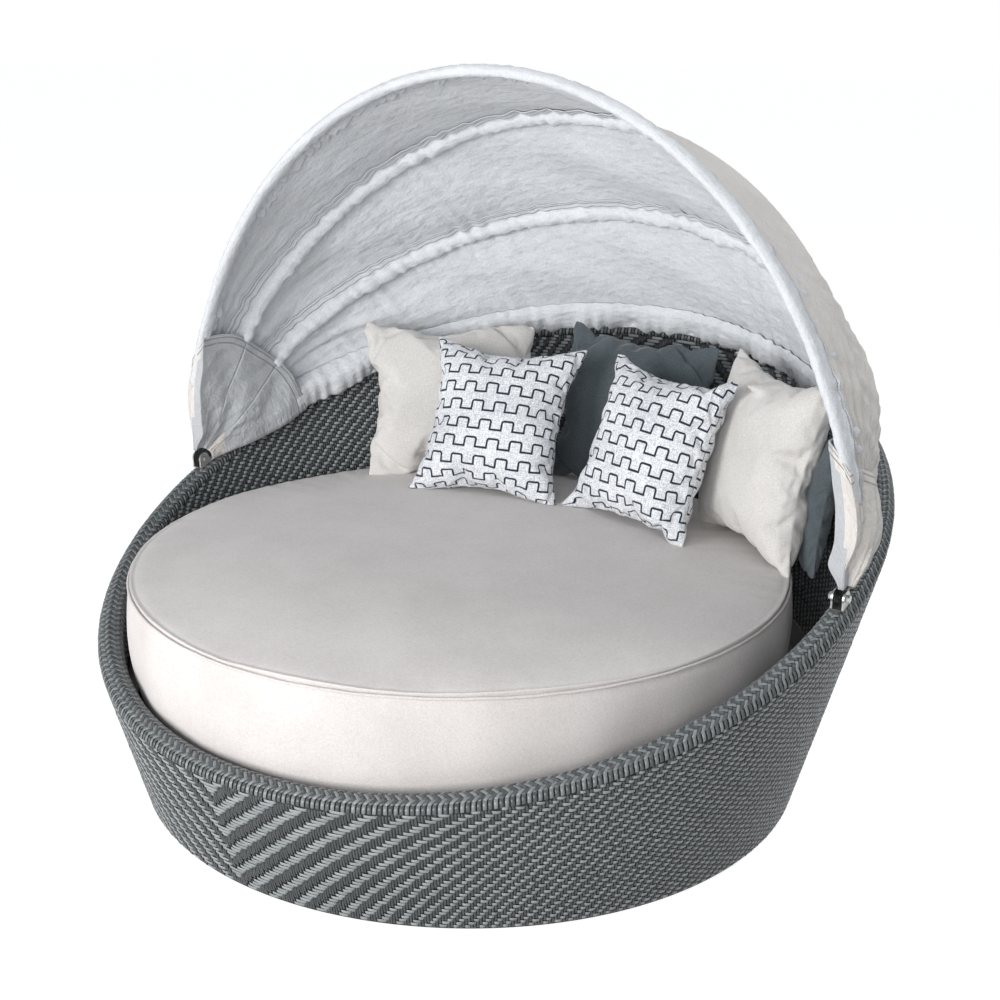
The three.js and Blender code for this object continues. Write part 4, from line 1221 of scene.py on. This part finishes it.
def pocket_patches(gore):
    """Columns of a gore's patches. The first and the last gore run from the outer layer round the
    closed end to the inner one, and the middle gore has a patch for each layer."""
    across = [gore + step / pocket_steps for step in range(pocket_steps + 1)]
    if gore == 1:
        return [[(q, 0, layer) for q in across] for layer in (1, -1)]
    end, way = (0, -1) if gore == 0 else (3, 1)
    outside = [(q, 0, 1) for q in (across[::-1] if gore == 0 else across)]
    outside += [(end, way * past, 1) for past in (0.25, 0.5, 0.75, 1.0)]
    cap = [(end, way, layer) for layer in (0.98, 0.9, 0.7, 0.35, 0, -0.35, -0.7, -0.9, -0.98)]
    return [outside + cap + [(q, over, -1) for q, over, _ in outside[::-1]]]


for side_name, sign in (("right", 1), ("left", -1)):
    for gore in range(3):
        sewn = [pocket_patch(sign, patch) for patch in pocket_patches(gore)]
        for patch in sewn:
            patch.select_set(True)
        bpy.context.view_layer.objects.active = sewn[0]
        if len(sewn) > 1:
            bpy.ops.object.join()
        pocket = bpy.context.view_layer.objects.active
        pocket.name = f"canopy_pocket_{side_name}_gore_{gore + 1}"
        pocket.select_set(False)
        # faces point out of the boot: away from its middle between the two layers
        towards = 0
        middle_x = bow_line(gore, np.arcsin(0.15 / bow_heights[gore]))[0] * sign
        for polygon in pocket.data.polygons:
            centre = polygon.center
            if abs((centre - pivot).length - 0.15) < 0.03:
                towards += polygon.normal.x * (centre.x - middle_x) * polygon.area
        if towards < 0:
            pocket.data.flip_normals()
        centres = np.array([polygon.center for polygon in pocket.data.polygons])
        outer_side = centres[:, 0] * sign > middle_x * sign - (centres[:, 2] - pivot.z) ** 2 * 0.5
        pocket.data.materials.append(stitched_pocket_shade)
        pocket.data.materials.append(stitched_flap)
        pocket.data.polygons.foreach_set("material_index", outer_side.astype(np.int32))
        thicken(pocket, 0.0016, 1)
        fold_between(pocket)
        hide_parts(f"canopy_pocket_{side_name}")


# The ties: short flat tapes sewn to the lower edge of the rear hem, led over the rim's inner edge
# and laced to the inner weave
hem_edge = 0.0575
facet = math.cos(math.pi / 48)
tape_gap = 0.0026
for number, place in enumerate((-0.25, 0.25)):
    centre, _, back = fan_frame(3, np.array([math.acos(place / bow_half_widths[3])]))
    start = centre[0] + back[0] * hem_edge
    angle = math.atan2(start[0], -start[1])
    foot = float(rim_height(angle)) - roll_height
    edge = (wall_radius(foot, wall_thickness / 2) - roll_half_width) * facet - tape_gap
    path = [(math.hypot(start[0], start[1]), start[2]), (edge, foot + 0.015), (edge, foot)]
    for drop in (0.025, 0.075):
        path.append((wall_radius(foot - drop, wall_thickness) * facet - tape_gap, foot - drop))
    line, steps = eased_path(path, 40, 4)
    across = np.linspace(-0.011, 0.011, 7)
    points = np.array([round_about(angle + across / radius, radius, z) for radius, z in line])
    flat = np.stack(np.meshgrid(steps, across + 0.5, indexing="ij"), -1).reshape(-1, 2)
    tie = mesh_of(f"canopy_tie_{number + 1}_tape", points, grid_faces(40, 7), flat)
    thicken(tie, 0.0014, 0)
    dress(tie, canopy_inside_shade, "tub", f"canopy_tie_{number + 1}")
